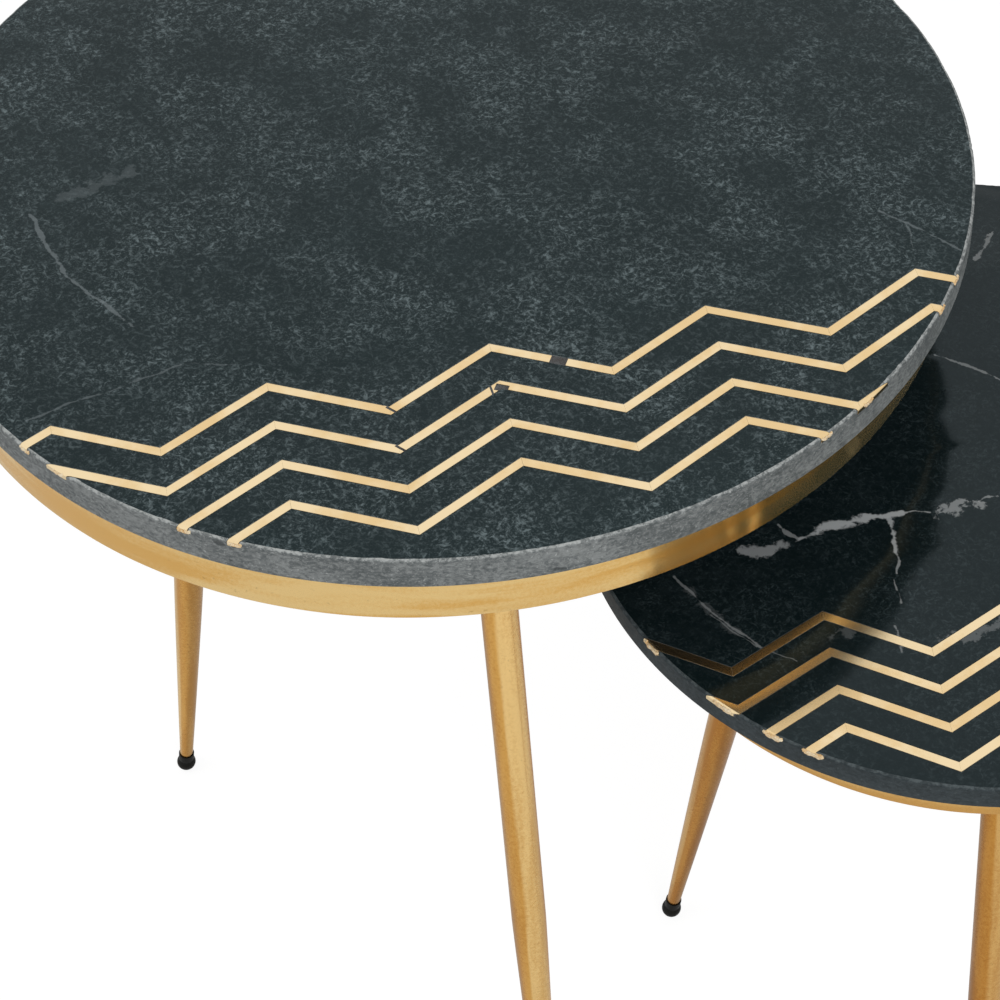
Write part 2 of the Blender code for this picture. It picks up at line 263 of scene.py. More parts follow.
@dataclass(frozen=True)
class PolishedStone:
    """The polished face of a dark marble top: clouded ground, small flecks and veins."""

    name: str
    ground: Colour
    cloud: Colour
    fleck: Colour
    fleck_share: float
    vein_colour: Colour
    veins: tuple[Vein, ...]
    centre: Point
    roughness: float
    specular: float
    sheen_tint: Colour = (0.76, 0.93, 1.0)      # colour of what the polish mirrors

    def material(self) -> bpy.types.Material:
        """Returns the finish as a material."""
        pattern = Pattern(self.name)
        place = pattern.place
        colour = self.ground_colour(pattern, place)
        flecks = self.flecks(pattern, place)
        colour = pattern.blend(flecks, colour, self.fleck)
        worn = pattern.noise(pattern.wandering(place, 70.0, 0.004), 130.0, 5.0, 0.66)
        wandering = pattern.wandering(place, 48.0, 0.0032, 5.0)
        for vein in self.veins:
            share = self.vein(pattern, wandering, worn, vein)
            colour = pattern.blend(share, colour, self.vein_colour)
        grain = pattern.noise(place, 900.0, 2.0)
        roughness = pattern.ease(
            pattern.noise(place, 40.0, 4.0), 0.3, 0.7, self.roughness * 0.94,
            self.roughness * 1.06)
        return pattern.finish(
            Base_Color=colour,
            Roughness=roughness,
            Specular_IOR_Level=self.specular,
            Specular_Tint=self.sheen_tint,
            Normal=pattern.bump(grain, 0.000008),
        )

    def ground_colour(self, pattern: Pattern, place: Input) -> Input:
        """Returns the clouded ground."""
        wandering = pattern.wandering(place, 14.0, 0.02, 3.0)
        cloud = pattern.ease(pattern.noise(wandering, 11.0, 5.0, 0.62), 0.36, 0.68)
        fine = pattern.ease(pattern.noise(place, 170.0, 3.0, 0.6), 0.3, 0.75, 0.0, 0.6)
        return pattern.blend(pattern.math("MULTIPLY", cloud, fine), self.ground, self.cloud)

    def flecks(self, pattern: Pattern, place: Input) -> Input:
        """Returns how much of the fleck colour shows: short threads that gather in clusters."""
        wandering = pattern.wandering(place, 210.0, 0.0020, 3.0)
        threads = None
        for turn, length, scale in ((0.35, 2.3, 640.0), (1.3, 1.9, 560.0), (-0.6, 2.1, 500.0)):
            drawn = pattern.stretched(wandering, (length, 1.0, 1.0), turn)
            thread = pattern.ease(pattern.noise(drawn, scale, 2.5, 0.6), 0.53, 0.76)
            threads = thread if threads is None else pattern.math("MAXIMUM", threads, thread)
        dust = pattern.ease(pattern.noise(place, 1150.0, 2.0, 0.6), 0.50, 0.78, 0.0, 0.5)
        threads = pattern.math("MAXIMUM", threads, dust)
        cluster = pattern.ease(pattern.noise(place, 26.0, 5.0, 0.68), 0.37, 0.66, 0.24, 1.0)
        share = pattern.math("MULTIPLY", threads, cluster)
        return pattern.math("MULTIPLY", share, self.fleck_share)

    def vein(self, pattern: Pattern, place: Input, worn: Input, vein: Vein) -> Input:
        """Returns how much of the vein colour shows along one vein.

        Args:
            pattern: The material.
            place: Coordinates pushed about, so that the vein wanders.
            worn: Noise that eats into the vein and leaves islands beside it.
            vein: The vein.

        Returns:
            The share's socket.
        """
        nearest = None
        for start, end in zip(vein.points, vein.points[1:]):
            distance = self.segment_distance(pattern, place, start, end)
            nearest = distance if nearest is None else pattern.math("MINIMUM", nearest, distance)
        near = pattern.math("DIVIDE", nearest, vein.width)
        eaten = pattern.ease(worn, 0.28, 0.72, -vein.ragged, vein.ragged)
        core = pattern.ease(pattern.math("ADD", near, eaten), 1.05, 0.35)
        return pattern.math("MULTIPLY", core, vein.strength)

    def segment_distance(self, pattern: Pattern, place: Input, start: Point, end: Point) -> Input:
        """Returns the distance from a straight piece of a vein, seen from above."""
        origin = (self.centre[0] + start[0], self.centre[1] + start[1], 0.0)
        along = (end[0] - start[0], end[1] - start[1], 0.0)
        flat = pattern.vector("MULTIPLY", place, (1.0, 1.0, 0.0))
        offset = pattern.vector("SUBTRACT", flat, origin)
        dot = pattern.vector("DOT_PRODUCT", offset, along, output="Value")
        share = pattern.math("DIVIDE", dot, along[0] ** 2 + along[1] ** 2, use_clamp=True)
        gap = pattern.vector("SUBTRACT", offset, pattern.scaled(along, share))
        return pattern.vector("LENGTH", gap, output="Value")


@dataclass(frozen=True)
class SawnStone:
    """The honed side and underside of a marble top, with its chalky arris and dark pits."""

    name: str
    dark: Colour
    light: Colour
    arris: Colour
    pit: Colour
    top: float
    roughness: float = 0.62
    specular: float = 0.25

    def material(self) -> bpy.types.Material:
        """Returns the finish as a material."""
        pattern = Pattern(self.name)
        place = pattern.place
        pushed = pattern.wandering(place, 150.0, 0.002)
        mottle = pattern.noise(pattern.stretched(pushed, (1.7, 1.7, 1.0)), 620.0, 4.0, 0.72)
        broad = pattern.noise(pattern.stretched(pushed, (2.6, 2.6, 1.0)), 70.0, 4.0, 0.6)
        share = pattern.math("ADD", pattern.math("MULTIPLY", mottle, 0.72),
                             pattern.math("MULTIPLY", broad, 0.34))
        colour = pattern.blend(pattern.ease(share, 0.40, 0.68), self.dark, self.light)
        grains = pattern.ease(pattern.noise(pushed, 1050.0, 1.5, 0.5), 0.60, 0.78, 0.0, 0.6)
        colour = pattern.blend(grains, colour, self.arris)
        pits = pattern.noise(pattern.stretched(pushed, (1.8, 1.8, 0.9)), 150.0, 3.0, 0.5)
        colour = pattern.blend(pattern.ease(pits, 0.665, 0.73, 0.0, 0.8), colour, self.pit)
        height = pattern.node("ShaderNodeSeparateXYZ", {0: place}).outputs["Z"]
        ragged = pattern.ease(pattern.noise(place, 420.0, 3.0, 0.7), 0.3, 0.7, -0.0004, 0.0003)
        edge = pattern.math("SUBTRACT", pattern.math("ADD", height, ragged), self.top)
        chalk = pattern.ease(edge, -0.0010, -0.0004)
        chalk = pattern.math("MULTIPLY", chalk, pattern.ease(mottle, 0.40, 0.60, 0.15, 0.8))
        colour = pattern.blend(chalk, colour, self.arris)
        rough = pattern.bump(mottle, 0.00006)
        return pattern.finish(
            Base_Color=colour,
            Roughness=self.roughness,
            Specular_IOR_Level=self.specular,
            Normal=pattern.bump(pattern.ease(pits, 0.70, 0.76, 1.0, 0.0), 0.0002, rough),
        )


@dataclass(frozen=True)
class Brass:
    """Satin brass: two tones of smudged patina over fine lines of brushing."""

    name: str
    pale: Colour
    deep: Colour
    roughness: float
    stretch: tuple[float, float, float]   # how far the brushing is drawn out along each axis
    grain: Grain = Grain.OBJECT
    smudge: float = 14.0                  # scale of the patina
    speck: Colour = (0.16, 0.08, 0.025)
    speck_share: float = 0.25
    mottled: float = 0.05                 # how much fine mottling breaks up the patina
    line_depth: float = 0.000004
    brushed_round: bool = False           # whether mirrored light is drawn out along Z

    BRUSH_SCALE = 1400.0                  # of the fine lines
    SPECK_SCALE = 420.0
    PAINTED_PALE_SIDE = (0.90, 0.44, 0.0)           # the side that the painted reflection and shade leave palest, in the leg's own frame
    # painted reflection and shade: an orange-brown tint on the sides turned from the palest one,
    # grey-blue on the side towards the table's axis
    PAINTED_SIDE_SHADE_TINT = (0.83, 0.67, 0.42)
    PAINTED_INNER_SHADE_TINT = (0.76, 0.78, 0.90)

    def material(self) -> bpy.types.Material:
        """Returns the finish as a material."""
        pattern = Pattern(self.name, self.grain)
        place = pattern.place
        lines = pattern.noise(pattern.stretched(place, self.stretch), self.BRUSH_SCALE, 3.0, 0.6)
        soft = pattern.stretched(place, tuple(s ** 0.7 for s in self.stretch))
        broad = pattern.noise(pattern.wandering(soft, self.smudge, 0.01), self.smudge, 3.0, 0.5)
        mottle = pattern.noise(pattern.wandering(place, 150.0, 0.002), self.smudge * 9.0, 4.0,
                               0.6)
        mixed = pattern.math("ADD", broad, pattern.ease(mottle, 0.25, 0.75, -self.mottled,
                                                        self.mottled))
        colour = pattern.blend(pattern.ease(mixed, 0.37, 0.63), self.deep, self.pale)
        # painted reflection and shade round each leg, in its own frame
        if self.grain is Grain.OWN_AXIS:
            colour = self.painted_side_shade(pattern, colour)
        specks = pattern.noise(place, self.SPECK_SCALE, 3.0, 0.6)
        where = pattern.ease(pattern.noise(soft, self.smudge * 2.2, 3.0), 0.45, 0.65)
        spots = pattern.math("MULTIPLY", pattern.ease(specks, 0.62, 0.72), where)
        colour = pattern.blend(pattern.math("MULTIPLY", spots, self.speck_share), colour,
                               self.speck)
        roughness = pattern.ease(mixed, 0.25, 0.75, self.roughness * 1.2, self.roughness * 0.85)
        if self.brushed_round:
            tangent = pattern.node("ShaderNodeTangent", {}, direction_type="RADIAL", axis="Z")
            pattern.finish(Anisotropic=0.9, Anisotropic_Rotation=0.25,
                           Tangent=tangent.outputs["Tangent"])
        return pattern.finish(
            Base_Color=colour,
            Metallic=1.0,
            Roughness=roughness,
            Normal=pattern.bump(lines, self.line_depth),
        )

    def painted_side_shade(self, pattern: Pattern, colour: Input) -> Input:
        """Returns the colour with painted reflection and shade: deeper away from the leg's outer
        face, grey-blue towards the table's axis.
        """
        flat = pattern.vector("MULTIPLY", pattern.place, (1.0, 1.0, 0.0))
        facing = pattern.vector("DOT_PRODUCT", pattern.vector("NORMALIZE", flat),
                                self.PAINTED_PALE_SIDE, output="Value")
        drawn = pattern.stretched(pattern.place, (1.0, 1.0, 14.0))
        wobble = pattern.ease(pattern.noise(drawn, 90.0, 3.0), 0.3, 0.7, -0.12, 0.12)
        facing = pattern.math("ADD", facing, wobble)
        # painted reflection: deeper orange round all but the palest side
        side = pattern.ease(facing, 0.84, 0.64)
        colour = pattern.blend(side, colour, self.PAINTED_SIDE_SHADE_TINT, "MULTIPLY")
        # painted shade: grey-blue on the side turned towards the table's axis, under the top
        inner = pattern.ease(facing, 0.35, -0.35)
        return pattern.blend(inner, colour, self.PAINTED_INNER_SHADE_TINT, "MULTIPLY")


@dataclass(frozen=True)
class Plain:
    """A finish of two close tones with a fine surface: rubber, paint, zinc, steel, glue."""

    name: str
    first: Colour
    second: Colour
    roughness: float
    metallic: float
    scale: float
    depth: float
    specular: float = 0.5

    def material(self) -> bpy.types.Material:
        """Returns the finish as a material."""
        pattern = Pattern(self.name)
        fine = pattern.noise(pattern.place, self.scale, 4.0, 0.6)
        broad = pattern.noise(pattern.place, self.scale / 9.0, 3.0)
        share = pattern.ease(pattern.math("ADD", fine, broad), 0.7, 1.3)
        return pattern.finish(
            Base_Color=pattern.blend(share, self.first, self.second),
            Metallic=self.metallic,
            Roughness=pattern.ease(broad, 0.3, 0.7, self.roughness * 0.9, self.roughness * 1.1),
            Specular_IOR_Level=self.specular,
            Normal=pattern.bump(fine, self.depth),
        )


# ---------------------------------------------------------------- mesh building

def built(build: bmesh.types.BMesh, name: str) -> bpy.types.Mesh:
    """Returns a new mesh with what was built, and frees the builder."""
    mesh = bpy.data.meshes.new(name)
    build.to_mesh(mesh)
    build.free()
    return mesh


def plan_middle(low: Vector, high: Vector) -> Vector:
    """Returns the middle of a box, seen from above."""
    return Vector(((low.x + high.x) / 2.0, (low.y + high.y) / 2.0))


def as_object(name: str, mesh: bpy.types.Mesh) -> bpy.types.Object:
    """Returns a new object for a mesh, linked to the scene."""
    thing = bpy.data.objects.new(name, mesh)
    bpy.context.scene.collection.objects.link(thing)
    return thing


def applied(thing: bpy.types.Object) -> bpy.types.Mesh:
    """Returns the object's mesh with its modifiers applied, and removes the object."""
    bpy.context.view_layer.update()
    graph = bpy.context.evaluated_depsgraph_get()
    mesh = bpy.data.meshes.new_from_object(thing.evaluated_get(graph))
    bpy.data.objects.remove(thing)
    return mesh


def combined(mesh: bpy.types.Mesh, tool: bpy.types.Mesh, operation: str) -> bpy.types.Mesh:
    """Returns a mesh cut by, joined to or kept inside another."""
    body = as_object("body", mesh)
    other = as_object("tool", tool)
    boolean = body.modifiers.new("boolean", "BOOLEAN")
    boolean.operation = operation
    boolean.solver = "EXACT"
    boolean.object = other
    result = applied(body)
    bpy.data.objects.remove(other)
    return result


def joined(meshes: Iterable[bpy.types.Mesh]) -> bpy.types.Mesh:
    """Returns one mesh that holds all of the given ones."""
    whole = bmesh.new()
    for mesh in meshes:
        whole.from_mesh(mesh)
    return built(whole, "joined")


def moved(mesh: bpy.types.Mesh, place: Matrix) -> bpy.types.Mesh:
    """Returns a copy of a mesh, moved."""
    copy = mesh.copy()
    copy.transform(place)
    return copy


def rounded(corners: Sequence[tuple[float, float, float]], closed: bool = False,
            steps: int = 4) -> list[Point]:
    """Rounds the corners of a profile.

    Args:
        corners: Radius, height and rounding of each corner, in order.
        closed: Whether the last corner joins the first.
        steps: Straight pieces in each rounding.

    Returns:
        The profile's points, as radius and height.
    """
    points: list[Point] = []
    count = len(corners)
    for index, (radius, height, rounding) in enumerate(corners):
        here = Vector((radius, height))
        if rounding == 0.0 or (not closed and index in (0, count - 1)):
            points.append((radius, height))
            continue
        before = Vector(corners[index - 1][:2])
        after = Vector(corners[(index + 1) % count][:2])
        start = here + (before - here).normalized() * rounding
        end = here + (after - here).normalized() * rounding
        for step in range(steps + 1):
            share = step / steps
            point = (start * (1 - share) ** 2 + here * 2 * share * (1 - share)
                     + end * share ** 2)
            points.append((point.x, point.y))
    return points


def turned(profile: Sequence[Point], steps: int, closed: bool = False) -> bpy.types.Mesh:
    """Makes a solid by turning a profile about Z.

    Args:
        profile: Radius and height of each point. An open profile runs from the middle of the
            upper face down the outside to the middle of the lower face.
        steps: Sides of the solid.
        closed: Whether the profile is a loop, as for a ring.

    Returns:
        The mesh, with its faces pointing outwards.
    """
    build = bmesh.new()
    rings: list[list[bmesh.types.BMVert]] = []
    for radius, height in profile:
        if radius < MERGE:
            rings.append([build.verts.new((0.0, 0.0, height))])
            continue
        ring = []
        for step in range(steps):
            angle = 2.0 * pi * step / steps
            ring.append(build.verts.new((radius * cos(angle), radius * sin(angle), height)))
        rings.append(ring)
    pairs = list(zip(rings, rings[1:]))
    if closed:
        pairs.append((rings[-1], rings[0]))
    for upper, lower in pairs:
        if len(upper) == 1 or len(lower) == 1:
            build.faces.new(lower if len(upper) == 1 else upper)
            continue
        for step in range(steps):
            following = (step + 1) % steps
            build.faces.new((upper[step], lower[step], lower[following], upper[following]))
    loose = [vertex for vertex in build.verts if not vertex.link_faces]
    bmesh.ops.delete(build, geom=loose, context="VERTS")
    bmesh.ops.recalc_face_normals(build, faces=build.faces)
    return built(build, "turned")


def split(mesh: bpy.types.Mesh) -> bpy.types.Mesh:
    """Splits bent four-sided faces into triangles, so that every face is flat."""
    build = bmesh.new()
    build.from_mesh(mesh)
    bent = [face for face in build.faces if len(face.verts) == 4]
    bmesh.ops.triangulate(build, faces=bent)
    build.to_mesh(mesh)
    build.free()
    return mesh


def block(low: Sequence[float], high: Sequence[float]) -> bpy.types.Mesh:
    """Returns a box between two corners, used only as a cutter."""
    build = bmesh.new()
    bmesh.ops.create_cube(build, size=1.0)
    for vertex in build.verts:
        for axis in range(3):
            share = vertex.co[axis] + 0.5
            vertex.co[axis] = low[axis] + (high[axis] - low[axis]) * share
    return built(build, "block")


def store_grain(mesh: bpy.types.Mesh) -> None:
    """Stores each vertex's place about the piece's own axis, for a pattern that follows it."""
    attribute = mesh.attributes.new(GRAIN_ATTRIBUTE, "FLOAT_VECTOR", "POINT")
    for vertex in mesh.vertices:
        attribute.data[vertex.index].vector = vertex.co


@dataclass
class Piece:
    """A finished piece on its way into the scene."""

    name: str
    mesh: bpy.types.Mesh
    body: str
    slot: str
    materials: list[bpy.types.Material]
    stands_for: tuple[str, ...] = ()
    sharp: float = SHARP

    def add(self) -> bpy.types.Object:
        """Shades the mesh, dresses it, and puts it on its body.

        Returns:
            The piece's object.
        """
        self.mesh.name = self.name
        if len(self.mesh.materials) != len(self.materials):
            self.mesh.materials.clear()
            for material in self.materials:
                self.mesh.materials.append(material)
        self.mesh.shade_smooth()
        self.mesh.set_sharp_from_angle(angle=self.sharp)
        thing = as_object(self.name, self.mesh)
        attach(thing, self.body)
        if self.stands_for:
            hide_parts(*self.stands_for)
        log.info("%s: %d faces on %s", self.name, len(self.mesh.polygons), self.body)
        return thing


# ---------------------------------------------------------------- geometry nodes

class Recipe(Nodes):
    """A Geometry Nodes tree in the making, run on a carrier mesh and then applied."""

    def __init__(self, name: str) -> None:
        """Starts a tree with a geometry input and output."""
        super().__init__(bpy.data.node_groups.new(name, "GeometryNodeTree"))
        self.values: dict[str, object] = {}
        for way in ("INPUT", "OUTPUT"):
            self.tree.interface.new_socket("Geometry", in_out=way,
                                           socket_type="NodeSocketGeometry")
        self.entry = self.tree.nodes.new("NodeGroupInput")
        self.exit = self.tree.nodes.new("NodeGroupOutput")

    def size(self, name: str, value: object, kind: str = "Float"):
        """Adds a named input.

        Args:
            name: Name of the input.
            value: Its value on the modifier.
            kind: Float, Int or Material.

        Returns:
            The socket that carries it inside the tree.
        """
        item = self.tree.interface.new_socket(name, in_out="INPUT",
                                              socket_type=f"NodeSocket{kind}")
        self.values[item.identifier] = value
        return self.entry.outputs[name]

    def join(self, x: Input, y: Input, z: Input) -> bpy.types.NodeSocket:
        """Returns a vector from its three parts."""
        return self.node("ShaderNodeCombineXYZ", {0: x, 1: y, 2: z}).outputs[0]

    def made(self, geometry: bpy.types.NodeSocket, material: bpy.types.NodeSocket,
             carrier: bpy.types.Mesh) -> bpy.types.Mesh:
        """Ends the tree, runs it and returns the plain mesh that it makes.

        Args:
            geometry: What the tree makes.
            material: The input that carries the material.
            carrier: Mesh that the modifier sits on.

        Returns:
            The mesh.
        """
        dressed = self.node("GeometryNodeSetMaterial",
                            {"Geometry": geometry, "Material": material})
        self.tree.links.new(dressed.outputs[0], self.exit.inputs[0])
        thing = as_object(self.tree.name, carrier)
        modifier = thing.modifiers.new(self.tree.name, "NODES")
        modifier.node_group = self.tree
        for identifier, value in self.values.items():
            modifier[identifier] = value
        return applied(thing)


@dataclass(frozen=True)
class Zigzag:
    """The rule of the inlay band: equal corners that alternate between near and far.

    In the band's own frame +X points outwards through its middle and Y runs along it.
    """

    half: float         # half a period, along the band
    swing: float        # near corner to far corner
    spacing: float      # one line to the next
    reach: float        # table axis to the outermost corners
    shift: float        # the middle corner, off the middle line
    direction: float    # turn of the band's frame about the table's axis
    early: float = 0.0  # how far short of a whole run the innermost line turns near its end

    LINES = 4
    CORNERS = 6
    EARLY_PLACE = -3.0  # the run from here on is the one cut short

    def line_reach(self, line: int) -> float:
        """Returns the reach of one line, counted from 0 for the outermost."""
        return self.reach - line * self.spacing

    def at(self, line: int, place: float) -> Point:
        """Returns the band-frame point at a place along a line, where corners are whole."""
        towards = abs((place + 1.0) % 2.0 - 1.0)
        short = self.early_turn(line) * min(max(self.EARLY_PLACE - place, 0.0), 1.0)
        return (self.line_reach(line) - self.swing * (1.0 - towards - short),
                (place + short) * self.half + self.shift)

    def early_turn(self, line: int) -> float:
        """Returns how far short of a whole run a line turns near its end."""
        return self.early if line == self.LINES - 1 else 0.0

    def frame(self, centre: Vector) -> Matrix:
        """Returns the band's frame on a table."""
        return Matrix.Translation(centre) @ Matrix.Rotation(self.direction, 4, "Z")

    def rim_places(self, line: int, radius: float) -> list[float]:
        """Returns the places where a line runs out over the rim, and back in over it."""
        fine = 400
        crossings = []
        inside = False
        for step in range(-self.CORNERS * fine, self.CORNERS * fine + 1):
            now = hypot(*self.at(line, step / fine)) < radius
            if now != inside:
                crossings.append(step / fine)
            inside = now
        return crossings

    def bars(self, line: int, width: float, joint: float, low: float, high: float,
             material: bpy.types.Material) -> bpy.types.Mesh:
        """Makes the straight bars of one line, mitred at the corners.

        Args:
            line: Which line.
            width: Width of a bar.
            joint: Gap between two bars at a corner, along the band.
            low: Height of the lower faces.
            high: Height of the upper faces.
            material: Finish of the bars.

        Returns:
            The bars in the band's frame, longer than the top is wide.
        """
        recipe = Recipe("zigzag_bars")
        half = recipe.size("Half Period", self.half)
        swing = recipe.size("Swing", self.swing)
        reach = recipe.size("Reach", self.line_reach(line))
        shift = recipe.size("Shift Along", self.shift)
        across = recipe.size("Width Across", width * sqrt(self.half ** 2 + self.swing ** 2)
                             / self.half)
        gap = recipe.size("Joint Gap", joint / self.half)
        early = recipe.size("Early Turn", self.early_turn(line))
        bottom = recipe.size("Lower Face", low)
        top = recipe.size("Upper Face", high)
        count = recipe.size("Corners", 2 * self.CORNERS, "Int")
        finish = recipe.size("Finish", material, "Material")

        first = recipe.math("ADD", recipe.math("MULTIPLY", count, -0.5), 0.5)
        spots = recipe.node("GeometryNodeMeshLine", {
            "Count": count, "Start Location": recipe.join(0.0, first, 0.0),
            "Offset": (0.0, 1.0, 0.0)})
        bar = recipe.node("GeometryNodeMeshCube", {
            "Size": recipe.join(1.0, recipe.math("SUBTRACT", 1.0, gap), 1.0)})
        placed = recipe.node("GeometryNodeInstanceOnPoints", {
            "Points": spots.outputs["Mesh"], "Instance": bar.outputs["Mesh"]})
        real = recipe.node("GeometryNodeRealizeInstances", {0: placed.outputs[0]})
        parts = recipe.node("ShaderNodeSeparateXYZ", {
            0: recipe.node("GeometryNodeInputPosition", {}).outputs[0]}).outputs
        towards = recipe.math("PINGPONG", parts["Y"], 1.0)
        past = recipe.math("SUBTRACT", self.EARLY_PLACE, parts["Y"], use_clamp=True)
        short = recipe.math("MULTIPLY", past, early)
        share_in = recipe.math("SUBTRACT", recipe.math("SUBTRACT", 1.0, towards), short)
        x = recipe.math("SUBTRACT", reach, recipe.math("MULTIPLY", swing, share_in))
        x = recipe.math("MULTIPLY_ADD", parts["X"], across, x)
        y = recipe.math("MULTIPLY_ADD", recipe.math("ADD", parts["Y"], short), half, shift)
        share = recipe.math("ADD", parts["Z"], 0.5)
        rise = recipe.math("SUBTRACT", top, bottom)
        z = recipe.math("MULTIPLY_ADD", share, rise, bottom)
        bent = recipe.node("GeometryNodeSetPosition", {
            "Geometry": real.outputs[0], "Position": recipe.join(x, y, z)})
        return recipe.made(bent.outputs[0], finish, bpy.data.meshes.new("carrier"))


# ---------------------------------------------------------------- marble top and inlay

@dataclass(frozen=True)
class Flaw:
    """A spot where a strip is broken away: a cutter box on one line of the band."""

    line: int               # counted from 0 for the outermost
    place: float            # along the line, where corners are whole numbers
    size: tuple[float, float]       # along the bar and across it
    aside: float = 0.0      # cutter's middle, off the bar's middle line
    turn: float = 0.0       # extra turn of the cutter


@dataclass
class MarbleTop:
    """One round marble top with the brass strips let into it."""

    table: str
    zigzag: Zigzag
    flaws: tuple[Flaw, ...]
    strip_width: float = 0.0042
    strip_depth: float = 0.0030
    arris: float = 0.0009
    foot_chamfer: float = 0.0008
    joint: float = 0.00004
    burr_size: float = 1.0
    steps: int = 720

    WEAR_START = 0.12       # how strong the noise is where the edge starts to wear
    WEAR_RATE = 0.0011
    MOST_WEAR = 0.0005
    EASE_WIDTH = 0.00005    # of the bars' sharp edges
    GLUE_DROP = 0.00022     # from the polished face to the adhesive
    RIM_INSET = 0.0003      # from the rim to where a strip counts as run out
    LUMP_BURIED = 0.00025   # how far inside the rim a lump's middle lies
    LUMP_THICK = 0.0008     # half of a lump's thickness
    LUMPS = (       # place along the rim and below the face, half width and half height
        (-0.0004, 0.0019, 0.0026, 0.0014), (0.0033, 0.0018, 0.0025, 0.0016),
        (0.0052, 0.0011, 0.0012, 0.0009), (-0.0027, 0.0011, 0.0011, 0.0009))

    def __post_init__(self) -> None:
        """Takes the top's place and size from its CAD node."""
        low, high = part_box(f"{self.table}_marble_top")
        self.radius = (high.x - low.x) / 2.0
        self.centre = plan_middle(low, high).to_3d()
        self.top = high.z
        self.bottom = low.z

    @property
    def body(self) -> str:
        """Returns the body that the top rides on."""
        return f"{self.table}_table"

    def blank(self, shrink: float = 0.0, worn: bool = False) -> bpy.types.Mesh:
        """Makes the disc before any groove is cut.

        Args:
            shrink: How far the disc lies inside its full size.
            worn: Whether its upper edge is nibbled.

        Returns:
            The disc in the shared frame.
        """
        radius = self.radius - shrink
        top = self.top - shrink
        bottom = self.bottom + shrink
        profile = rounded([
            (0.0, top, 0.0),
            (radius - self.arris, top, 0.0004),
            (radius, top - self.arris, 0.0004),
            (radius, bottom + self.foot_chamfer, 0.0003),
            (radius - self.foot_chamfer, bottom, 0.0003),
            (0.0, bottom, 0.0),
        ], steps=3)
        mesh = turned(profile, self.steps)
        if worn:
            self.nibble(mesh)
            mesh = split(mesh)
        mesh.transform(Matrix.Translation(self.centre))
        return mesh

    def nibble(self, mesh: bpy.types.Mesh) -> None:
        """Wears small hollows into the upper edge of the disc."""
        for vertex in mesh.vertices:
            place = vertex.co
            reach = hypot(place.x, place.y)
            if place.z < self.top - 3.0 * self.arris or reach < self.radius - 2.0 * self.arris:
                continue
            around = Vector((place.x, place.y, 0.0)) * (self.radius / reach)
            deep = noise.noise(around * 95.0) * 0.6 + noise.noise(around * 330.0) * 0.5
            wear = min(max(deep - self.WEAR_START, 0.0) * self.WEAR_RATE, self.MOST_WEAR)
            vertex.co.x -= place.x / reach * wear
            vertex.co.y -= place.y / reach * wear
            if place.z < self.top - MERGE:
                vertex.co.z -= wear * 0.6

    def stone(self, polished: bpy.types.Material, sawn: bpy.types.Material) -> Piece:
        """Makes the marble with its grooves.

        Args:
            polished: Finish of the upper face.
            sawn: Finish of every other face.

        Returns:
            The piece.
        """
        mesh = self.blank(worn=True)
        floor = self.top - self.strip_depth - GAP
        for line in range(self.zigzag.LINES):
            groove = self.zigzag.bars(line, self.strip_width + 2.0 * GAP, 0.0, floor,
                                      self.top + self.strip_depth, sawn)
            groove = self.welded(groove)
            groove.transform(self.zigzag.frame(self.centre))
            mesh = combined(mesh, groove, "DIFFERENCE")
        mesh.materials.clear()
        for material in (polished, sawn):
            mesh.materials.append(material)
        for face in mesh.polygons:
            level = face.normal.z > 0.999 and face.center.z > self.top - MERGE * 10.0
            face.material_index = 0 if level else 1
        return Piece(f"{self.table}_top_stone", mesh, self.body, "dark_marble",
                     [polished, sawn], (f"{self.table}_marble_top",), CUT_SHARP)

    @staticmethod
    def welded(mesh: bpy.types.Mesh) -> bpy.types.Mesh:
        """Returns bars that meet without a gap as one solid, without the faces between them."""
        build = bmesh.new()
        build.from_mesh(mesh)
        bmesh.ops.remove_doubles(build, verts=build.verts, dist=MERGE)
        inner = [face for face in build.faces
                 if all(len(edge.link_faces) > 2 for edge in face.edges)]
        bmesh.ops.delete(build, geom=inner, context="FACES_ONLY")
        bmesh.ops.recalc_face_normals(build, faces=build.faces)
        build.to_mesh(mesh)
        build.free()
        return mesh

    def strip(self, line: int, brass: bpy.types.Material) -> Piece:
        """Makes one brass line: mitred bars, cut flush with the rim, with their flaws."""
        mesh = self.zigzag.bars(line, self.strip_width, self.joint, self.top - self.strip_depth,
                                self.top + self.strip_depth, brass)
        for flaw in self.flaws:
            if flaw.line == line:
                mesh = combined(mesh, self.cutter(flaw), "DIFFERENCE")
        mesh.transform(self.zigzag.frame(self.centre))
        mesh = combined(mesh, self.blank(), "INTERSECT")
        return Piece(f"{self.table}_inlay_line_{line + 1}", self.eased(mesh), self.body,
                     "inlay_brass", [brass], (f"{self.table}_inlay_strip_{line + 1}",),
                     CUT_SHARP)

    def cutter(self, flaw: Flaw) -> bpy.types.Mesh:
        """Returns the box that breaks a strip, in the band's frame."""
        before, here, after = (Vector(self.zigzag.at(flaw.line, flaw.place + step))
                               for step in (-0.01, 0.0, 0.01))
        along = (after - before).normalized()
        side = Vector((-along.y, along.x))
        middle = here + side * flaw.aside
        turn = Vector((1.0, 0.0)).angle_signed(along)
        place = (Matrix.Translation((middle.x, middle.y, self.top))
                 @ Matrix.Rotation(-turn + flaw.turn, 4, "Z"))
        length, width = flaw.size
        box = block((-length / 2, -width / 2, -2.0 * self.strip_depth),
                    (length / 2, width / 2, 2.0 * self.strip_depth))
        return moved(box, place)

    def eased(self, mesh: bpy.types.Mesh) -> bpy.types.Mesh:
        """Returns bars with their sharp edges eased."""
        thing = as_object("eased", mesh)
        bevel = thing.modifiers.new("eased", "BEVEL")
        bevel.width = self.EASE_WIDTH
        bevel.segments = 2
        bevel.limit_method = "ANGLE"
        bevel.angle_limit = radians(50.0)
        return applied(thing)

